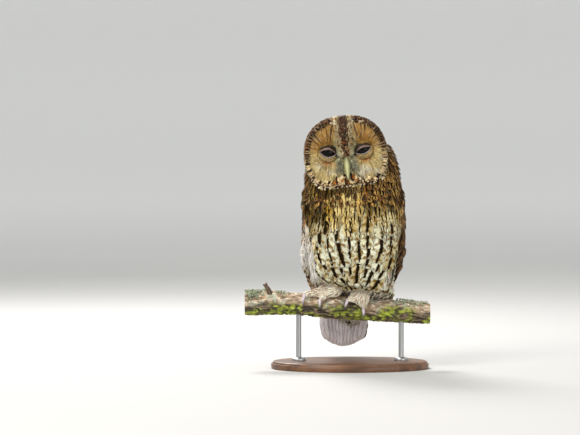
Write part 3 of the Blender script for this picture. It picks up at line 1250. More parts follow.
# Crown, nape and rim of the disc ---------------------------------------------------------------
# Small close feathers from the bill's root over the crown and down the nape: a dark stripe down the
# middle, a pale spotted stripe each side of it, then mottled bands, and dark streaks behind. Round
# the disc stands a rim of short stiff scales, dark above and beaded with cream below.
AROUND_CELL = [(i, j, k) for i in (-1, 0, 1) for j in (-1, 0, 1) for k in (-1, 0, 1)]


def scattered(mask, spacing, seed, tries=14):
    """Places spread evenly at random over part of the skin, at least spacing apart."""
    chance = luck(seed)
    faces = corner_of_face.reshape(-1, 4)
    faces = faces[mask[faces].all(axis=1)]
    a, b, c, d = (places[faces[:, k]] for k in range(4))
    area = np.linalg.norm(np.cross(c - a, d - b), axis=1) / 2
    count = int(area.sum() / spacing**2 * tries / 6)
    picked = chance.choice(len(faces), count, p=area / area.sum())
    s, t = chance.uniform(0, 1, (2, count, 1))
    low, high = a[picked] * (1 - s) + b[picked] * s, d[picked] * (1 - s) + c[picked] * s
    spots = low * (1 - t) + high * t
    kept, cells = [], {}
    cell_of = np.floor(spots / spacing).astype(int)
    for n, (x, y, z) in enumerate(cell_of):
        near_by = (m for i, j, k in AROUND_CELL for m in cells.get((x + i, y + j, z + k), ()))
        if all(((spots[n] - spots[m]) ** 2).sum() > spacing**2 for m in near_by):
            cells.setdefault((x, y, z), []).append(n)
            kept.append(n)
    return spots[kept]


head_places = into(HEAD, places)
head_shares = head_share(head_places[:, 0], head_places[:, 2])
on_crown = np.isin(labels, ("head", "facial_disc")) | ((labels == "neck") & (places[:, 2] > 0.335))
drop = 0.1 * eased(0.01, 0.045, head_places[:, 2])
drop = drop * eased(0.058, 0.03, np.abs(head_places[:, 0]))
on_crown &= ~((head_shares < 0.9 - drop) & (head_places[:, 1] < -0.018))


def over_crown(points):
    """Back over the crown from the bill, then down the sides and nape."""
    x, y, z = into(HEAD, points).T
    back = np.stack([x * 6, 0.06 + 0 * x, -0.02 - np.clip(y + 0.01, 0, 1) * 1.8], 1)
    low = eased(0.03, -0.01, z)[:, None]
    return head_way(*(unit(back) * (1 - low) + np.array((0.0, 0.25, -1.0)) * low).T)


def crown_look(points, chance):
    """Ground colour and markings of the head's top, sides and back."""
    x, y, z = into(HEAD, points).T
    across = np.abs(x + 0.0016 * drift(points, 0.01, 61))
    patch, pick = drift(points, 0.009, 62), chance.uniform(0, 1, len(points))
    colour = layered(
        (122, 88, 54),
        (eased(-0.2, 0.6, patch), (82, 60, 44)),
        (0.85 * (pick > 0.72), (240, 208, 156)),
        (0.85 * (pick < 0.3), (34, 25, 20)),
    )
    top = eased(0.02, -0.01, y)
    band = eased(0.01, 0.015, across) * eased(0.028, 0.038, z + across * 0.35) * top
    colour = layered(
        colour,
        (0.88 * band * (pick < 0.74), (28, 21, 18)),
        (0.9 * band * (pick > 0.84), (244, 220, 184)),
    )
    stripe = eased(0.0045, 0.0065, across) * eased(0.015, 0.0115, across) * eased(0.045, 0.0, y)
    colour = layered(
        colour,
        (0.95 * stripe * (pick > 0.3), (255, 246, 214)),
        (0.85 * stripe * (pick < 0.22), (140, 78, 34)),
    )
    middle = eased(0.0072, 0.005, across)
    colour = layered(
        colour,
        (middle, (36, 24, 27)),
        (middle * (pick > 0.87) * 0.7, (190, 148, 120)),
        (middle * (pick < 0.15) * 0.7, (150, 86, 44)),
    )
    edge = eased(0.9, 0.945, head_share(x, z)) * eased(0.03, -0.01, y)
    colour = layered(colour, (edge * 0.75 * (pick > 0.58), (248, 226, 206)))
    streak, fringe = 0.3 + 0.1 * patch - 0.28 * stripe, 0.3 + 0.25 * stripe
    fringe = fringe + 0.15 * edge - 0.22 * middle
    return colour, np.stack([streak, 0.3 + 0 * patch, fringe], 1)


head_finish = feather_finish(
    "head feathers", (38, 28, 24), (150, 98, 58), (222, 200, 172), 2.2, 11.0
)
roots = scattered(on_crown, 0.0031, 70)
grown = grow(roots, over_crown, 0.0095, 3, stray=luck(71).normal(0, 0.1, len(roots)))
look, pattern = crown_look(grown[0][:, 2], luck(73))
form = dict(
    columns=5, rows=6, lift=(0.0002, 0.004), neck=0.45, round=0.45, sweep=0.35, camber=0.25,
    fray=0.22, thick=0.00022,
)
feathers(
    "crown_and_nape_feathers", grown, 0.0022, head_finish, look, pattern, form, 72
)


def squared_off(value):
    """A circle's coordinate, moved out to the head's squarer outline."""
    return math.copysign(abs(value) ** (2 / HEAD_POWER), value)


rim_roots, rim_rows = [], []
RIM_SHARES, RIM_STEP = (0.6, 0.66, 0.72, 0.78, 0.825, 0.865, 0.905, 0.945), 2.6
for row, share in enumerate(RIM_SHARES):
    for turn in np.radians(np.arange(0, 360, RIM_STEP) + RIM_STEP / 2 * (row % 2)):
        x = share * HEAD_HALF_WIDTH * squared_off(math.cos(turn))
        high = HEAD_RISE if math.sin(turn) > 0 else HEAD_DROP
        z = share * high * squared_off(math.sin(turn))
        under_bill = z < -0.0225 - 0.01 * math.exp(-((x / 0.005) ** 2)) and abs(x) < 0.034
        outer = row >= 4 and (z < 0.03 or abs(x) > 0.016)
        if outer or (under_bill and abs(x) < (0.03 if row >= 2 else 0.016)):
            rim_roots.append((x, float(face_y(np.array(x), np.array(z))) + 0.0025, z))
            rim_rows.append(row)
rim_rows = np.array(rim_rows)
rim_roots = np.array(rim_roots)


def off_disc(points):
    x, _, z = into(HEAD, points).T
    return head_way(*unit(np.stack([x, 0.018 + 0 * x, z * 0.9 - 0.006], 1)).T)


stray = luck(74).normal(0, 0.16, len(rim_roots))
grown = grow(out_of(HEAD, rim_roots), off_disc, 0.0068, 3, stray=stray)
at = into(HEAD, grown[0][:, 0])
pick = luck(75).uniform(0, 1, len(rim_roots))
low = eased(0.012, -0.01, at[:, 2])
look = layered(
    (50, 36, 26),
    ((pick > 0.5) * 1.0, (156, 104, 58)),
    ((pick > 0.85) * 0.8, (220, 196, 156)),
    (low * (pick > 0.48), (246, 230, 188)),
)
inner_rows = eased(5.5, 3.0, rim_rows) * low
look = layered(
    look,
    (inner_rows * (pick > 0.25), (176, 112, 48)),
    (inner_rows * (pick > 0.62), (244, 222, 172)),
)
beaded = low * (pick > 0.48)
pattern = np.stack([0.5 - 0.4 * beaded, 0.3 - 0.2 * low, 0.12 + 0.38 * beaded], 1)
form = dict(
    columns=5, rows=6, lift=(0.0004, 0.004), neck=0.5, round=0.5, square=2.4, sweep=0.25,
    camber=0.3, fray=0.15, thick=0.0003, curl=0.0012,
)
feathers(
    "disc_rim_scales", grown, 0.0021, head_finish, look, pattern, form, 76,
    base=look * 0.35,
)

# Forehead, whiskers and chin -------------------------------------------------------------------
# Tiny feathers between the discs. A rufous and dark wedge runs up from the bill to the crown's
# stripe, stiff pale bristles sweep out on each side of the bill, and a scaly chin closes below it.
spots = []
BROW_RISE, BROW_STEP = 0.0016, 0.0015
for z in np.arange(-0.006, 0.058, BROW_RISE):
    wide = 0.0042 + 0.0085 * eased(0.0, 0.055, z)
    for x in np.arange(-wide, wide, BROW_STEP):
        spots.append((x + BROW_STEP / 2 * (round(z / BROW_RISE) % 2), 0.0, z))
spots = np.array(spots) + luck(80).normal(0, 0.00025, (len(spots), 3))


def up_brow(points):
    return head_way(into(HEAD, points)[:, 0] * 12, 0.0, 1.0)


grown = grow(
    out_of(HEAD, spots), up_brow, 0.0058, 3, on_face_front, luck(81).normal(0, 0.15, len(spots))
)
at = into(HEAD, grown[0][:, 1])
speck = drift(grown[0][:, 1], 0.0022, 82)
across = np.abs(at[:, 0])
pick = luck(83).uniform(0, 1, len(spots))
wedge = 0.0024 + 0.0032 * eased(0.0, 0.05, at[:, 2]) + 0.0012 * drift(grown[0][:, 1], 0.004, 85)
inside = eased(wedge + 0.001, wedge - 0.0004, across)
look = layered(
    (226, 204, 152), ((pick > 0.4) * 1.0, (240, 226, 182)), ((pick > 0.78) * 0.9, (150, 98, 50))
)
within = layered(
    (30, 20, 19),
    ((pick > 0.64) * 1.0, (176, 98, 40)),
    ((pick > 0.88) * 0.8, (240, 206, 150)),
    (eased(0.02, 0.055, at[:, 2]) * 0.65 * (pick > 0.5), (62, 44, 44)),
)
look = layered(look, (inside, within), (eased(0.3, 0.8, speck) * 0.6, (40, 28, 22)))
form = dict(
    columns=3, rows=5, lift=(0.0003, 0.0038), neck=0.5, round=0.4, square=1.8, camber=0.3,
    fray=0.25, thick=0.0003, sweep=0.2, curl=0.0006,
)
feathers(
    "forehead_feathers", grown, 0.0012, head_finish, look, (0.2, 0.1, 0.35), form,
    84,
)

chance = luck(90)
count = 900
side = np.where(chance.uniform(0, 1, count) < 0.5, -1, 1)
z = chance.uniform(-0.0145, 0.012, count)
x = side * (0.004 + chance.uniform(0, 1, count) ** 1.3 * (0.0065 + 0.003 * eased(0.0, -0.02, z)))
spots = np.stack([x, 0 * x, z], 1)


def past_bill(points):
    x, _, z = into(HEAD, points).T
    aside = np.sign(x) * (0.55 + 0.3 * eased(-0.005, 0.012, z))
    return head_way(*unit(np.stack([aside, 0 * x, np.where(z > 0.002, 0.9, -1.0)], 1)).T)


lengths, stray = chance.uniform(0.006, 0.0105, count), chance.normal(0, 0.22, count)
grown = grow(out_of(HEAD, spots), past_bill, lengths, 3, on_face_front, stray)
speck = drift(grown[0][:, 1], 0.003, 92)
look = layered(
    (206, 204, 176),
    (eased(0.1, 0.7, speck), (136, 134, 104)),
    (0.7 * eased(-0.001, 0.008, z), (232, 216, 164)),
    ((chance.uniform(0, 1, count) < 0.22).astype(float) * 0.85, (52, 48, 42)),
)
form = dict(
    columns=3, rows=5, lift=(0.0006, 0.0046), rise=1.0, neck=0.7, round=0.2, square=1.2, camber=0.3,
    fray=0.2, thick=0.0003, sweep=0.0, point=0.08, curl=0.0008,
)
wides = chance.uniform(0.00035, 0.0007, count)
feathers(
    "bill_bristles", grown, wides, disc_finish, look, (0, 0, 0.1), form, 93,
    base=look * 0.55,
)

spots = []
CHIN_RISE, CHIN_STEP = 0.0021, 0.0024
for z in np.arange(-0.0462, -0.018, CHIN_RISE):
    for x in np.arange(-0.034, 0.034, CHIN_STEP):
        spots.append((x + CHIN_STEP / 2 * (round(z / CHIN_RISE) % 2), 0.0, z))
spots = np.array(spots) + chance.normal(0, 0.0004, (len(spots), 3))
spots = spots[(np.abs(spots[:, 0]) > 0.0045) | (spots[:, 2] < -0.036)]
spots = spots[spots[:, 2] < -0.0185 - 0.0155 * (1 - np.exp(-((spots[:, 0] / 0.017) ** 2)))]


def off_chin(points):
    return head_way(into(HEAD, points)[:, 0] * 22, 0.0, -1.0)


grown = grow(
    out_of(HEAD, spots), off_chin, 0.0062, 3, on_face_front, chance.normal(0, 0.2, len(spots))
)
patch = drift(grown[0][:, 1], 0.0052, 95)
pick = chance.uniform(0, 1, len(spots))
look = layered(
    (184, 116, 50),
    ((pick > 0.46) * 1.0, (246, 226, 178)),
    (eased(0.0, 0.6, patch) * 0.4, (214, 160, 90)),
    ((pick < 0.3) * 0.95, (28, 18, 12)),
)
form = dict(
    columns=5, rows=5, lift=(0.0004, 0.0042), neck=0.5, round=0.45, square=2.2, camber=0.3,
    fray=0.2, thick=0.0003, sweep=0.2, curl=0.001,
)
marked = np.stack([0.05 + 0.3 * (pick < 0.3), 0.1 + 0 * pick, 0.4 * (pick > 0.46)], 1)
feathers(
    "chin_scales", grown, 0.002, head_finish, look, marked, form, 96,
    base=look * 0.3,
)

# Breast and belly ------------------------------------------------------------------------------
# Broad soft feathers in chains down the front. High on the breast they are brown and buff with
# broad dark centres. Lower down they are grey-white with square ends, a long black-brown streak
# down each shaft and golden-brown bars, and the chains draw together between the legs.


def down_body(points):
    """Down the trunk, drawn together towards the legs in front and the tail behind."""
    x, y, z = np.asarray(points).T
    low = eased(0.235, 0.13, z)
    front = eased(0.03, -0.02, y)
    drawn = 0.85 * eased(0.215, 0.15, z) / np.maximum(z - 0.08, 0.03)
    way_x = -(x - (0.006 * front)) * (drawn * front + 5.0 * low * (1 - front))
    way_y = (1 - front) * 0.35 * low + front * 0.25 * eased(0.15, 0.11, z)
    return unit(np.stack([way_x, way_y, -np.ones_like(z)], 1))


GIRTH = 0.072  # the body's radius where the chains of feathers start
height_here = places[:, 2]
turn_here = np.degrees(np.abs(np.arctan2(places[:, 0], -places[:, 1])))
skin_face_part = part_of_skin[corner_of_face.reshape(-1, 4)].max(axis=1)


def part_at(points):
    """Which part of the body the skin belongs to at each place."""
    found = [skin_face_part[skin_tree.find_nearest(Vector(p))[2]] for p in points]
    return np.array(FLESH)[found]


def clear_of_feet(grown):
    """Which lines stay off the legs and toes."""
    ends = grown[0][:, 1:].reshape(-1, 3)
    over = np.isin(part_at(ends), ("leg_right", "leg_left"))
    return ~over.reshape(len(grown[0]), -1).any(axis=1)


CHAIN_STEPS = 60  # more than any chain needs


def chain_roots(top, spacing, step, low, turns):
    """Roots in chains that run down the body, every other chain half a step lower."""
    kept, cells = [], {}
    gap = 0.8 * min(spacing, step)
    start = []
    for turn in turns:
        far = np.array((math.sin(turn) * 0.2, -math.cos(turn) * 0.2, 0.0))
        hit = skin_tree.ray_cast(Vector((0, 0, top)) + Vector(far), -Vector(far))[0]
        start.append(hit if hit is not None else Vector((0, 0, top)))
    spots = np.array(start)
    offset = (np.arange(len(turns)) % 2) * 0.5 * step
    spots = on_skin(spots + down_body(spots) * offset[:, None])[0]
    out = []
    for _ in range(CHAIN_STEPS):
        out += [p for p in spots if p[2] > low]
        spots = on_skin(spots + down_body(spots) * step)[0]
    for p in out:
        cell = tuple(np.floor(p / gap).astype(int))
        near_by = [q for beside in AROUND_CELL for q in cells.get(tuple(np.add(cell, beside)), ())]
        if all(((p - q) ** 2).sum() > gap**2 for q in near_by):
            cells.setdefault(cell, []).append(p)
            kept.append(p)
    return np.array(kept)


def breast_look(points, chance):
    """Ground colour and markings of the front and sides of the body."""
    x, _, z = points.T
    patch, speck = drift(points, 0.022, 101), drift(points, 0.01, 102)
    count = len(points)
    line = 0.222 + 0.26 * np.clip(x, -0.06, 0.05) + 0.006 * patch
    mixed = z + 0.01 * (chance.uniform(0, 1, count) - 0.5)
    upper = np.clip(eased(line - 0.02, line + 0.02, mixed), 0, 1)
    left, right = eased(-0.018, -0.032, x), eased(0.008, 0.024, x)
    middle = (1 - left - right).clip(0)
    pick = chance.uniform(0, 1, count)
    dark_side = layered(
        (84, 66, 26),
        ((pick > 0.35) * 0.9, (190, 150, 62)),
        ((pick > 0.8) * 0.8, (238, 206, 128)),
        (eased(0.2, 0.8, speck) * 0.6, (46, 35, 16)),
    )
    warm_side = layered(
        (96, 60, 24),
        ((pick > 0.4) * 0.9, (190, 126, 46)),
        ((pick > 0.82) * 0.8, (236, 194, 118)),
        (eased(0.2, 0.8, speck) * 0.7, (42, 28, 15)),
    )
    soft_middle = layered(
        (172, 132, 70),
        (eased(-0.4, 0.2, speck), (222, 200, 150)),
        ((pick < 0.2) * 0.7, (118, 84, 42)),
    )
    top = 0.8 * dark_side * left[:, None] + 0.9 * warm_side * right[:, None]
    top = top + soft_middle * middle[:, None]
    tufts = drift(points * (1.0, 1.0, 0.3), 0.0068, 104)
    top = layered(
        top,
        (0.9 * eased(0.1, 0.5, tufts), (32, 24, 11)),
        (0.6 * eased(-0.3, -0.8, tufts), (236, 210, 150)),
    )
    cream = eased(0.019, 0.012, np.abs(x + 0.007)) * eased(0.268, 0.256, z) * eased(0.222, 0.238, z)
    top = layered(top, (0.75 * cream, (224, 206, 162)))
    below = layered(
        (220, 220, 204),
        (0.65 * eased(0.198, 0.236, z), (208, 180, 100)),
        (0.3 * eased(0.2, 0.9, speck), (190, 180, 128)),
        (0.45 * (chance.uniform(0, 1, count) < 0.35), (198, 166, 92)),
    )
    colour = layered(below, (upper, top))
    collar = eased(0.261, 0.27, z + 0.005 * speck) * (1 - 0.5 * eased(-0.045, -0.06, x))
    collar = collar * (1 - 0.6 * eased(0.0, 0.02, x))
    colour = layered(colour, (collar * 0.85, (44, 36, 22)))
    flank = eased(0.046, 0.066, np.abs(x - 0.004)) * (1 - upper)
    colour = layered(colour, (0.35 * flank, (182, 160, 104)))
    wide = chance.uniform(0.8, 1.25, count)
    streak = (0.2 + upper * (0.06 + 0.18 * left + 0.16 * right - 0.1 * cream)) * wide
    streak = np.where(chance.uniform(0, 1, count) < 0.05, 0.05, streak)
    bars = (0.95 * (chance.uniform(0, 1, count) < 0.8) + 0.25 * flank) * (1 - 0.4 * upper)
    wash = np.stack([1 + 0 * upper, 1 - 0.04 * upper, 0.9 - 0.24 * upper], 1)
    pattern = [np.clip(streak, 0, 0.62), np.clip(bars, 0, 0.9), 0.1 + 0.3 * (1 - upper)]
    return colour * wash, np.stack(pattern, 1)


body_finish = feather_finish(
    "breast feathers", (26, 16, 3), (118, 84, 12), (226, 228, 204), 3.4, 26.0, reach=1.0, halo=0.8
)
BELLY_FORM = {"columns": 17, "rows": 17, "square": 2.6, "round": 0.7, "jag": 0.0022}
BREAST_FORM = {"columns": 11, "rows": 13, "square": 1.7, "round": 0.36, "fray": 0.46, "jag": 0.0026}
chance = luck(100)
# Name, top, gap between chains, gap along them, lowest root, length, half width, form.
for name, top, spacing, step, low, long, wide, more in (
    ("belly_feathers", 0.243, 0.018, 0.0165, 0.118, 0.04, 0.0114, BELLY_FORM),
    ("breast_feathers", 0.298, 0.0092, 0.0082, 0.222, 0.025, 0.0056, BREAST_FORM),
):
    turns = np.arange(-2.05, 2.05, spacing / GIRTH)
    roots = chain_roots(top, spacing, step, low, turns)
    belt = np.isin(labels, ("trunk", "neck")) & (turn_here < 112)
    belt &= (height_here > low) & (height_here < top - 0.02)
    more_roots = scattered(belt, 0.8 * min(spacing, step), 99)
    gaps = np.linalg.norm(more_roots[:, None] - roots[None], axis=2).min(axis=1)
    roots = np.concatenate([roots, more_roots[gaps > 0.85 * min(spacing, step)]])
    roots = on_skin(roots + chance.normal(0, 0.06 * spacing, roots.shape))[0]
    stands_in = part_at(roots)
    turn = np.degrees(np.arctan2(roots[:, 0], -roots[:, 1]))
    in_front = (np.abs(turn) < np.where(turn > 0, 74, 56)) & (roots[:, 2] < 0.27)
    roots = roots[np.isin(stands_in, ("trunk", "neck")) | in_front]
    lengths = long * chance.uniform(0.86, 1.14, len(roots))
    lengths = lengths * (0.75 + 0.25 * eased(0.1, 0.15, roots[:, 2]))
    grown = grow(roots, down_body, lengths, 5, stray=chance.normal(0, 0.06, len(roots)))
    clear = clear_of_feet(grown)
    grown, roots = (grown[0][clear], grown[1][clear]), roots[clear]
    look, pattern = breast_look(grown[0][:, 4], chance)
    form = dict(
        lift=(0.0003, 0.0054), rise=0.6, neck=0.45, sweep=0.22, camber=0.1, fray=0.26, roll=0.05,
        thick=0.00026, ripple=0.00012, curl=-0.001, patch=0.02,
    ) | more
    wides = wide * chance.uniform(0.85, 1.12, len(roots))
    stand = chance.uniform(0.88, 1.08, len(roots))
    feathers(
        name, grown, wides, body_finish, look, pattern, form, 103 + len(name),
        base=look * 0.7, stand=stand,
    )

# Neck, back and wing coverts -------------------------------------------------------------------
# The brown upper side, as close and as deep as the breast but darker: each feather has a black
# shaft streak and fine cross bars. A row of bold cream spots runs down each shoulder, and the
# coverts of the folded wings carry paler tips.
back_finish = feather_finish(
    "back feathers", (30, 21, 15), (56, 40, 26), (186, 152, 100), 3.4, 15.0, 0.76
)
on_neck = (labels == "neck") & (height_here < 0.345)
on_back = np.isin(labels, ("trunk", "neck")) & (turn_here > 100)
on_back &= (height_here > 0.105) & (height_here < 0.315)


def back_look(points):
    """Ground colour and markings of the upper side."""
    x, y, z = points.T
    patch, speck = drift(points, 0.016, 111), drift(points, 0.007, 112)
    colour = layered(
        (112, 78, 48),
        (eased(-0.3, 0.6, patch), (84, 62, 44)),
        (eased(0.3, 0.9, speck), (150, 112, 72)),
    )
    front = eased(0.0, -0.03, y)
    colour = layered(colour, (front * 0.6 * eased(-0.5, 0.5, speck), (206, 166, 100)))
    below_chin = 0.85 * (eased(-0.01, -0.03, y) * eased(0.258, 0.266, z + 0.004 * speck))
    below_chin = below_chin * eased(0.022, -0.004, x + 0.008 * patch)
    colour = layered(colour, (below_chin, (42, 38, 20)))
    pattern = np.stack([0.2 + 0.06 * speck, 0.55 + 0.2 * patch, 0.22 + 0 * patch], 1)
    return colour * (1.0, 0.96, 0.76), pattern


on_rump = np.isin(labels, ("trunk", "tail")) & (turn_here > 105) & (height_here < 0.128)
on_rump |= (turn_here > 142) & (height_here < 0.165)
on_rump &= (height_here > 0.063) & (skin_normals[:, 1] > 0.15)
chance = luck(110)
# Name, where, gap, length, half width, lift of the tip.
for name, mask, spacing, long, wide, deep in (
    ("neck_feathers", on_neck, 0.0062, 0.017, 0.0044, 0.006),
    ("back_feathers", on_back, 0.008, 0.025, 0.007, 0.006),
    ("rump_and_tail_coverts", on_rump, 0.008, 0.024, 0.0068, 0.003),
):
    roots = scattered(mask, spacing, 113 + len(name))
    grown = grown_by(chance, roots, down_body, long, (0.9, 1.1), 4, 0.07)
    look, pattern = back_look(grown[0][:, 3])
    form = dict(
        columns=7, rows=8, lift=(0.0003, deep), neck=0.4, round=0.55, square=2.2, camber=0.15,
        fray=0.13, thick=0.00026, ripple=0.0001, patch=0.015,
    )
    feathers(
        name, grown, wide, back_finish, look, pattern, form, 116, base=look * 0.5
    )


def to_wing_tip(points):
    """Back and in along the folded wing, towards the tail."""
    side = np.sign(points[:, 0] + 0.002)
    tip = np.stack(np.broadcast_arrays(-0.006 + side * 0.014, 0.07, 0.035), 1)
    return unit(tip - points)


covert_finish = feather_finish(
    "wing coverts", (34, 25, 20), (58, 42, 30), (212, 192, 156), 3.0, 15.0, 0.74
)
for side, side_name in SIDES:
    over_flight = (height_here > np.where(turn_here > 146, 0.158, 0.182)) | (turn_here < 104)
    mask = (labels == f"wing_{side_name}") & over_flight
    mask |= (labels == f"primaries_{side_name}") & (turn_here < 104)
    shoulder = (np.abs(turn_here - 92) < 15) & (np.abs(height_here - 0.232) < 0.03)
    shoulder &= (labels == "trunk") & (places[:, 0] * side > 0)
    roots = scattered(mask | shoulder, 0.0086, 120 + side)
    grown = grown_by(chance, roots, to_wing_tip, 0.024, (0.9, 1.1), 4, 0.06)
    look, pattern = back_look(grown[0][:, 3])
    look = layered(look, (np.full(len(roots), 0.35), (108, 88, 68)))
    tips = grown[0][:, 3]
    turn = np.abs(np.degrees(np.arctan2(tips[:, 0], -tips[:, 1])))
    row = np.abs(turn - (134 - 260 * (tips[:, 2] - 0.2))) < 9
    look[row] = dye(216, 202, 170)
    pattern[row] = (0.16, 0.1, 0.3)
    form = dict(
        columns=7, rows=8, lift=(0.0003, 0.003), neck=0.45, square=2.4, camber=0.12, fray=0.08,
        thick=0.00026, patch=0.02,
    )
    feathers(
        f"wing_coverts_{side_name}", grown, 0.0074, covert_finish, look, pattern,
        form, 122, base=look * 0.5,
    )

# Flight feathers -------------------------------------------------------------------------------
# The long stiff feathers of the folded wings: ten secondaries over eight primaries on each side,
# overlapping like a closed fan, barred dark and buff across both vanes, pale at the tips.
flight_finish = feather_finish(
    "flight feathers", (40, 30, 24), (52, 38, 28), (196, 176, 140), 6.0, 60.0, 0.66, 0.35
)
# Primaries, then secondaries: how many, the first one's turn and the fan's in degrees, height,
# length, what the last one adds to it, lift, lift added by each, width.
FANS = (
    (8, 98, 52, 0.158, 0.062, 0.048, 0.0012, 0.0002, 0.008),
    (10, 92, 68, 0.196, 0.066, 0.022, 0.0022, 0.00022, 0.0088),
)
for side, side_name in SIDES:
    roots, lengths, highs, wides = [], [], [], []
    for count, first, fan, height, long, longer, lift, lift_step, wide in FANS:
        for k in range(count):
            share = k / (count - 1)
            turn = math.radians(first + fan * share)
            x, y = side * 0.2 * math.sin(turn), -0.2 * math.cos(turn)
            inward = Vector((-x, -y, 0)).normalized()
            roots.append(skin_tree.ray_cast(Vector((x, y, height)), inward)[0])
            lengths.append(long + longer * share)
            highs.append(lift + lift_step * k)
            wides.append(wide)
    roots, lengths, highs = np.array(roots), np.array(lengths), np.array(highs)
    grown = grow(roots, to_wing_tip, lengths, 8)
    look = np.tile(dye(168, 132, 88), (len(roots), 1))
    form = dict(
        columns=9, rows=26, lift=(highs * 0.4, highs), neck=0.7, fill=0.15, round=0.86, square=2.2,
        sweep=0.12, camber=0.06, fray=0.03, thick=0.0004, crowd=1.1, patch=0.15,
    )
    feathers(
        f"flight_feathers_{side_name}", grown, np.array(wides), flight_finish,
        look, (0.05, 0.92, 0.5), form, 130, base=look * 0.8,
    )

# Tail ------------------------------------------------------------------------------------------
# Twelve tail feathers, slightly spread under the branch, the middle pair on top. Brown and finely
# barred above with white tips, and pale lilac-white below. Shorter coverts lie over their roots.
TAIL_COUNT = 12
# The tail from its tip up: height, middle, half width, y, thickness.
TAIL = smooth_track(
    [
        (0.03, -0.009, 0.0245, 0.0765, 0.0035),
        (0.045, -0.009, 0.031, 0.073, 0.0045),
        (0.06, -0.009, 0.035, 0.07, 0.0055),
        (0.08, -0.008, 0.036, 0.067, 0.007),
        (0.11, -0.005, 0.032, 0.061, 0.0085),
        (0.14, -0.001, 0.025, 0.0545, 0.008),
        (0.16, 0.0, 0.018, 0.049, 0.005),
    ]
)
fan = (np.arange(TAIL_COUNT) - (TAIL_COUNT - 1) / 2) / (TAIL_COUNT / 2)
under_finish = feather_finish(
    "tail underside", (176, 164, 168), (212, 202, 206), (250, 246, 250), 5.0, 50.0, 0.7, 0.2
)
for name, face, material, colour, pattern in (
    ("tail_feathers_above", 1, flight_finish, dye(150, 112, 72), (0.06, 0.75, 0.8)),
    ("tail_feathers_below", -1, under_finish, dye(250, 244, 249), (0.05, 0.35, 0.4)),
):
    lines, ups = [], []
    for u in fan:
        tip = 0.028 + 0.013 * abs(u) ** 2.2
        line, out = [], []
        for z in np.linspace(0.14, tip, 12):
            middle, half, y, thick = TAIL(z)
            deep = y - 0.01 * u * u + face * (thick / 2 - 0.001)
            line.append((middle + half * 0.92 * u, deep, z))
            out.append((0.15 * u, 1.0 * face, 0.1))
        lines.append(line)
        ups.append(out)
    high = 0.0002 + 0.0012 * (1 - np.abs(fan)) if face > 0 else 0.0024 - 0.001 * (1 - np.abs(fan))
    form = dict(
        columns=9, rows=24, lift=(high, high), neck=0.8, fill=0.2, round=0.86, square=2.3,
        sweep=0.1, camber=0.05, fray=0.04, thick=0.0004, crowd=1.1, patch=0.2, roll=0.02,
    )
    grown = (np.array(lines, float), unit(np.array(ups, float)))
    feathers(
        name, grown, 0.0066, material, np.tile(colour, (TAIL_COUNT, 1)), pattern,
        form, 141, base=colour * 0.8,
    )

# Vent, flank fluff and legs --------------------------------------------------------------------
# Loose white down under the belly and on the flank, where one bright tuft stands out over the
# wing's edge, and the short dense speckled down that covers the shanks and toes to the claws.
down_finish = feather_finish(
    "leg down", (120, 92, 70), (150, 120, 92), (232, 222, 206), 1.5, 10.0, 0.85
)
fluff_finish = feather_finish(
    "white fluff", (150, 120, 90), (180, 140, 100), (240, 238, 232), 1.5, 8.0, 0.88, 0.25
)
mask = (labels == "trunk") & (height_here < np.where(turn_here > 80, 0.15, 0.128))
mask &= (turn_here < 138) | (height_here < 0.105)
fold = ~np.isin(labels, ("leg_right", "leg_left", "tail"))
fold &= (turn_here > 58) & (np.abs(height_here - 0.136) < 0.03)
fold &= turn_here < np.where(places[:, 0] < 0, 104, 84) + 10 * drift(places, 0.02, 156)
roots = scattered(mask | fold, 0.0048, 150)
chance = luck(151)
grown = grown_by(chance, roots, down_body, 0.017, (0.7, 1.2), 3, 0.18)
clear = clear_of_feet(grown)
grown, roots = (grown[0][clear], grown[1][clear]), roots[clear]
speck = drift(roots, 0.01, 152)
look = layered((216, 212, 200), (eased(0.2, 0.8, speck) * 0.6, (178, 140, 96)))
form = dict(
    columns=5, rows=7, lift=(0.0003, 0.0058), neck=0.5, round=0.4, square=1.6, sweep=0.5, fray=0.35,
    thick=0.00025, curl=0.001,
)
feathers(
    "vent_fluff", grown, 0.0026, fluff_finish, look, (0.12, 0.15, 0.5), form, 153,
    base=look * 0.6,
)

mask = np.isin(labels, ("trunk", "wing_right", "primaries_right")) & (places[:, 0] < -0.0525)


def from_tuft(points):
    """How far out in the flank's tuft a place is, from 0 at its middle to 1 at its edge."""
    return np.hypot((points[:, 1] + 0.026) / 0.023, (points[:, 2] - 0.176) / 0.038)


spread = from_tuft(places) + 0.22 * drift(places, 0.012, 157)
roots = scattered(mask & (spread < 1), 0.0015, 154)
count = len(roots)


def off_flank(points):
    lean = 0.22 * drift(points, 0.009, 158)
    aside = -0.2 * eased(0.19, 0.15, points[:, 2])
    return unit(np.stack(np.broadcast_arrays(aside, -0.05 + lean, -1.0), 1))


grown = grown_by(chance, roots, off_flank, 0.021, (0.55, 1.25), 4, 0.09)
high = chance.uniform(0.0036, 0.0072, count)
form = dict(
    columns=5, rows=9, lift=(0.0008, high), rise=0.75, neck=0.5, round=0.25, square=1.2,
    camber=0.35, fray=0.3, thick=0.00025, point=0.04, curl=0.0012,
)
look = layered(
    np.tile(dye(254, 252, 248), (count, 1)),
    (0.7 * eased(0.55, 1.05, from_tuft(roots)), (226, 212, 186)),
    (0.8 * (chance.uniform(0, 1, count) < 0.1), (184, 164, 136)),
)
wides = chance.uniform(0.0005, 0.0011, count)
feathers(
    "flank_tuft", grown, wides, fluff_finish, look, (0, 0, 0.4), form, 155,
    base=look * 0.85,
)

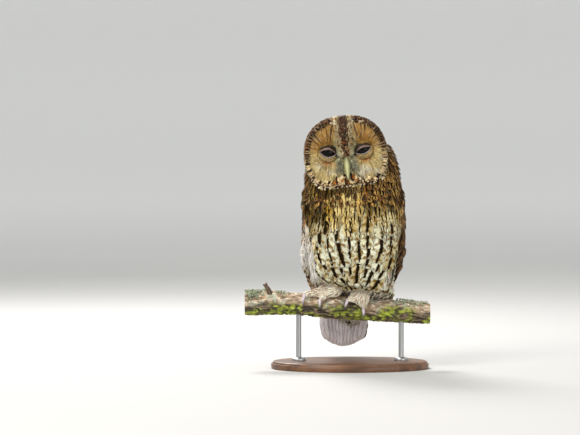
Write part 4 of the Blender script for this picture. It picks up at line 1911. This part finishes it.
toe_places, toe_ways = [], []
for plan in FEET.values():
    centre = on_branch(*plan["ball"][0])
    top = np.array(plan["shank"][0])
    for t in np.linspace(0, 1, 12):
        toe_places.append(top + (centre - top) * t)
        toe_ways.append(centre - top)
    for toe in plan["toes"]:
        stations = [(centre, toe[0][3])] + [(on_branch(x, a, lift), r) for x, a, lift, r in toe]
        line = line_through(stations, 16)[0]
        toe_places += list(line[2:])
        toe_ways += list(np.gradient(line, axis=0)[2:])
toe_places, toe_ways = np.array(toe_places), unit(np.array(toe_ways))


def along_toes(points):
    gaps = np.linalg.norm(points[:, None] - toe_places[None], axis=2)
    weight = np.exp(-((gaps - gaps.min(axis=1, keepdims=True)) / 0.003) ** 2)
    return unit((weight[..., None] * toe_ways).sum(axis=1))


mask = np.isin(labels, ("leg_right", "leg_left"))
roots = scattered(mask, 0.0017, 160)
grown = grown_by(chance, roots, along_toes, 0.0056, (0.8, 1.2), 3, 0.15)
speck = drift(grown[0][:, 2], 0.003, 161)
look = layered(
    (255, 240, 216),
    (eased(0.45, 0.9, speck) * 0.6, (160, 120, 90)),
    (eased(-0.2, -0.8, speck) * 0.6, (255, 250, 240)),
)
form = dict(
    columns=3, rows=5, jag=0.0002, lift=(0.0001, 0.0011), neck=0.6, round=0.4, square=1.6,
    camber=0.3, fray=0.25, thick=0.00022, sweep=0.2, curl=0.0003,
)
feathers(
    "leg_and_toe_down", grown, 0.001, down_finish, look, (0, 0, 0.3), form, 162,
    base=look * 0.9,
)

# Lichen on the branch --------------------------------------------------------------------------
# Small stiff curled lobes of grey-green lichen on the bark's upper side: a cushion near the sawn
# end with the twig, a few scraps along the rest. Each grows out of a crack and curls back.
chance = luck(170)
lines, ups = [], []
# Each cushion: its middle along the branch, its reach, and how many lobes.
for middle, reach, wanted in (
    (-0.147, 0.0075, 150), (-0.106, 0.006, 34), (0.086, 0.01, 46), (0.112, 0.005, 30),
):
    xs = np.clip(chance.normal(middle, reach, wanted), -0.155, 0.117)
    for x, a in zip(xs, chance.normal(4, 26, wanted)):
        foot = on_branch(x, a, -0.0006)
        out = unit(on_branch(x, a, 0.01) - on_branch(x, a, 0.0))
        lean = unit(np.cross(out, chance.normal(size=3)))
        long = chance.uniform(0.0035, 0.0078) * (1.0 if middle < -0.12 else 0.6)
        t = np.linspace(0, 1, 6)[:, None]
        lines.append(foot + out * long * (t - 0.35 * t**2) + lean * long * 0.8 * t**2)
        ups.append(np.tile(np.cross(out, lean), (6, 1)) + 0.4 * lean)
lichen_finish = feather_finish(
    "grey lichen", (96, 108, 84), (150, 162, 132), (206, 214, 190), 1.0, 4.0, 0.9, 0.5, sheen=0.0
)
look = layered((150, 162, 128), (chance.uniform(0, 1, len(lines)), (196, 202, 176)))
form = dict(
    columns=5, rows=7, lift=(0.0, 0.0), round=0.5, square=2.6, camber=0.5, fray=0.5, jag=0.0012,
    ripple=0.0003, thick=0.00035, sweep=0.4, roll=0.2,
)
grown = (np.array(lines), unit(np.array(ups)))
wides = chance.uniform(0.001, 0.0021, len(lines))
feathers("branch_lichen", grown, wides, lichen_finish, look, (0, 0, 0.6), form, 171)
feathers_laid.pop()

# The skin's dye --------------------------------------------------------------------------------
# The skin takes the colours of the feathers that stand in it, darker by the shade between them, so
# that no gap in the coat shows a foreign colour. Matt, finely pitted like a plucked hide.
stood = np.concatenate([f[0] for f in feathers_laid])
colours = np.concatenate([f[1] for f in feathers_laid])
lookup = KDTree(len(stood))
for i, p in enumerate(stood):
    lookup.insert(Vector(p), i)
lookup.balance()
NEIGHBOURS, SHADE = 3, 0.6
nearest = [[i for _, i, _ in lookup.find_n(Vector(p), NEIGHBOURS)] for p in places]
hide = smoothed(colours[np.array(nearest)].mean(axis=1), edges, 2) * SHADE
set_colour(whole, "hide", hide)
hide_finish, tree, shader = finish("dyed skin", 0.85, Specular_IOR_Level=0.2)
pits = noise(tree, where(tree), 900.0, 3.0)
mottle = noise(tree, stretched(tree, where(tree), (1.0, 1.0, 0.35)), 260.0, 3.0)
hide_look = flecked(tree, laid(tree, "hide"), pits, 0.35, 0.7, 0.5, (90, 70, 55), "MULTIPLY")
hide_look = flecked(tree, hide_look, mottle, 0.45, 0.65, 0.3, (150, 120, 90))
wired(tree, shader, hide_look, (pits, 0.2, 0.8, 0.75, 0.95), (pits, 0.5, 0.0004))
whole.materials.clear()
whole.materials.append(hide_finish)
dressed(skin, "body_plumage", *FLESH)
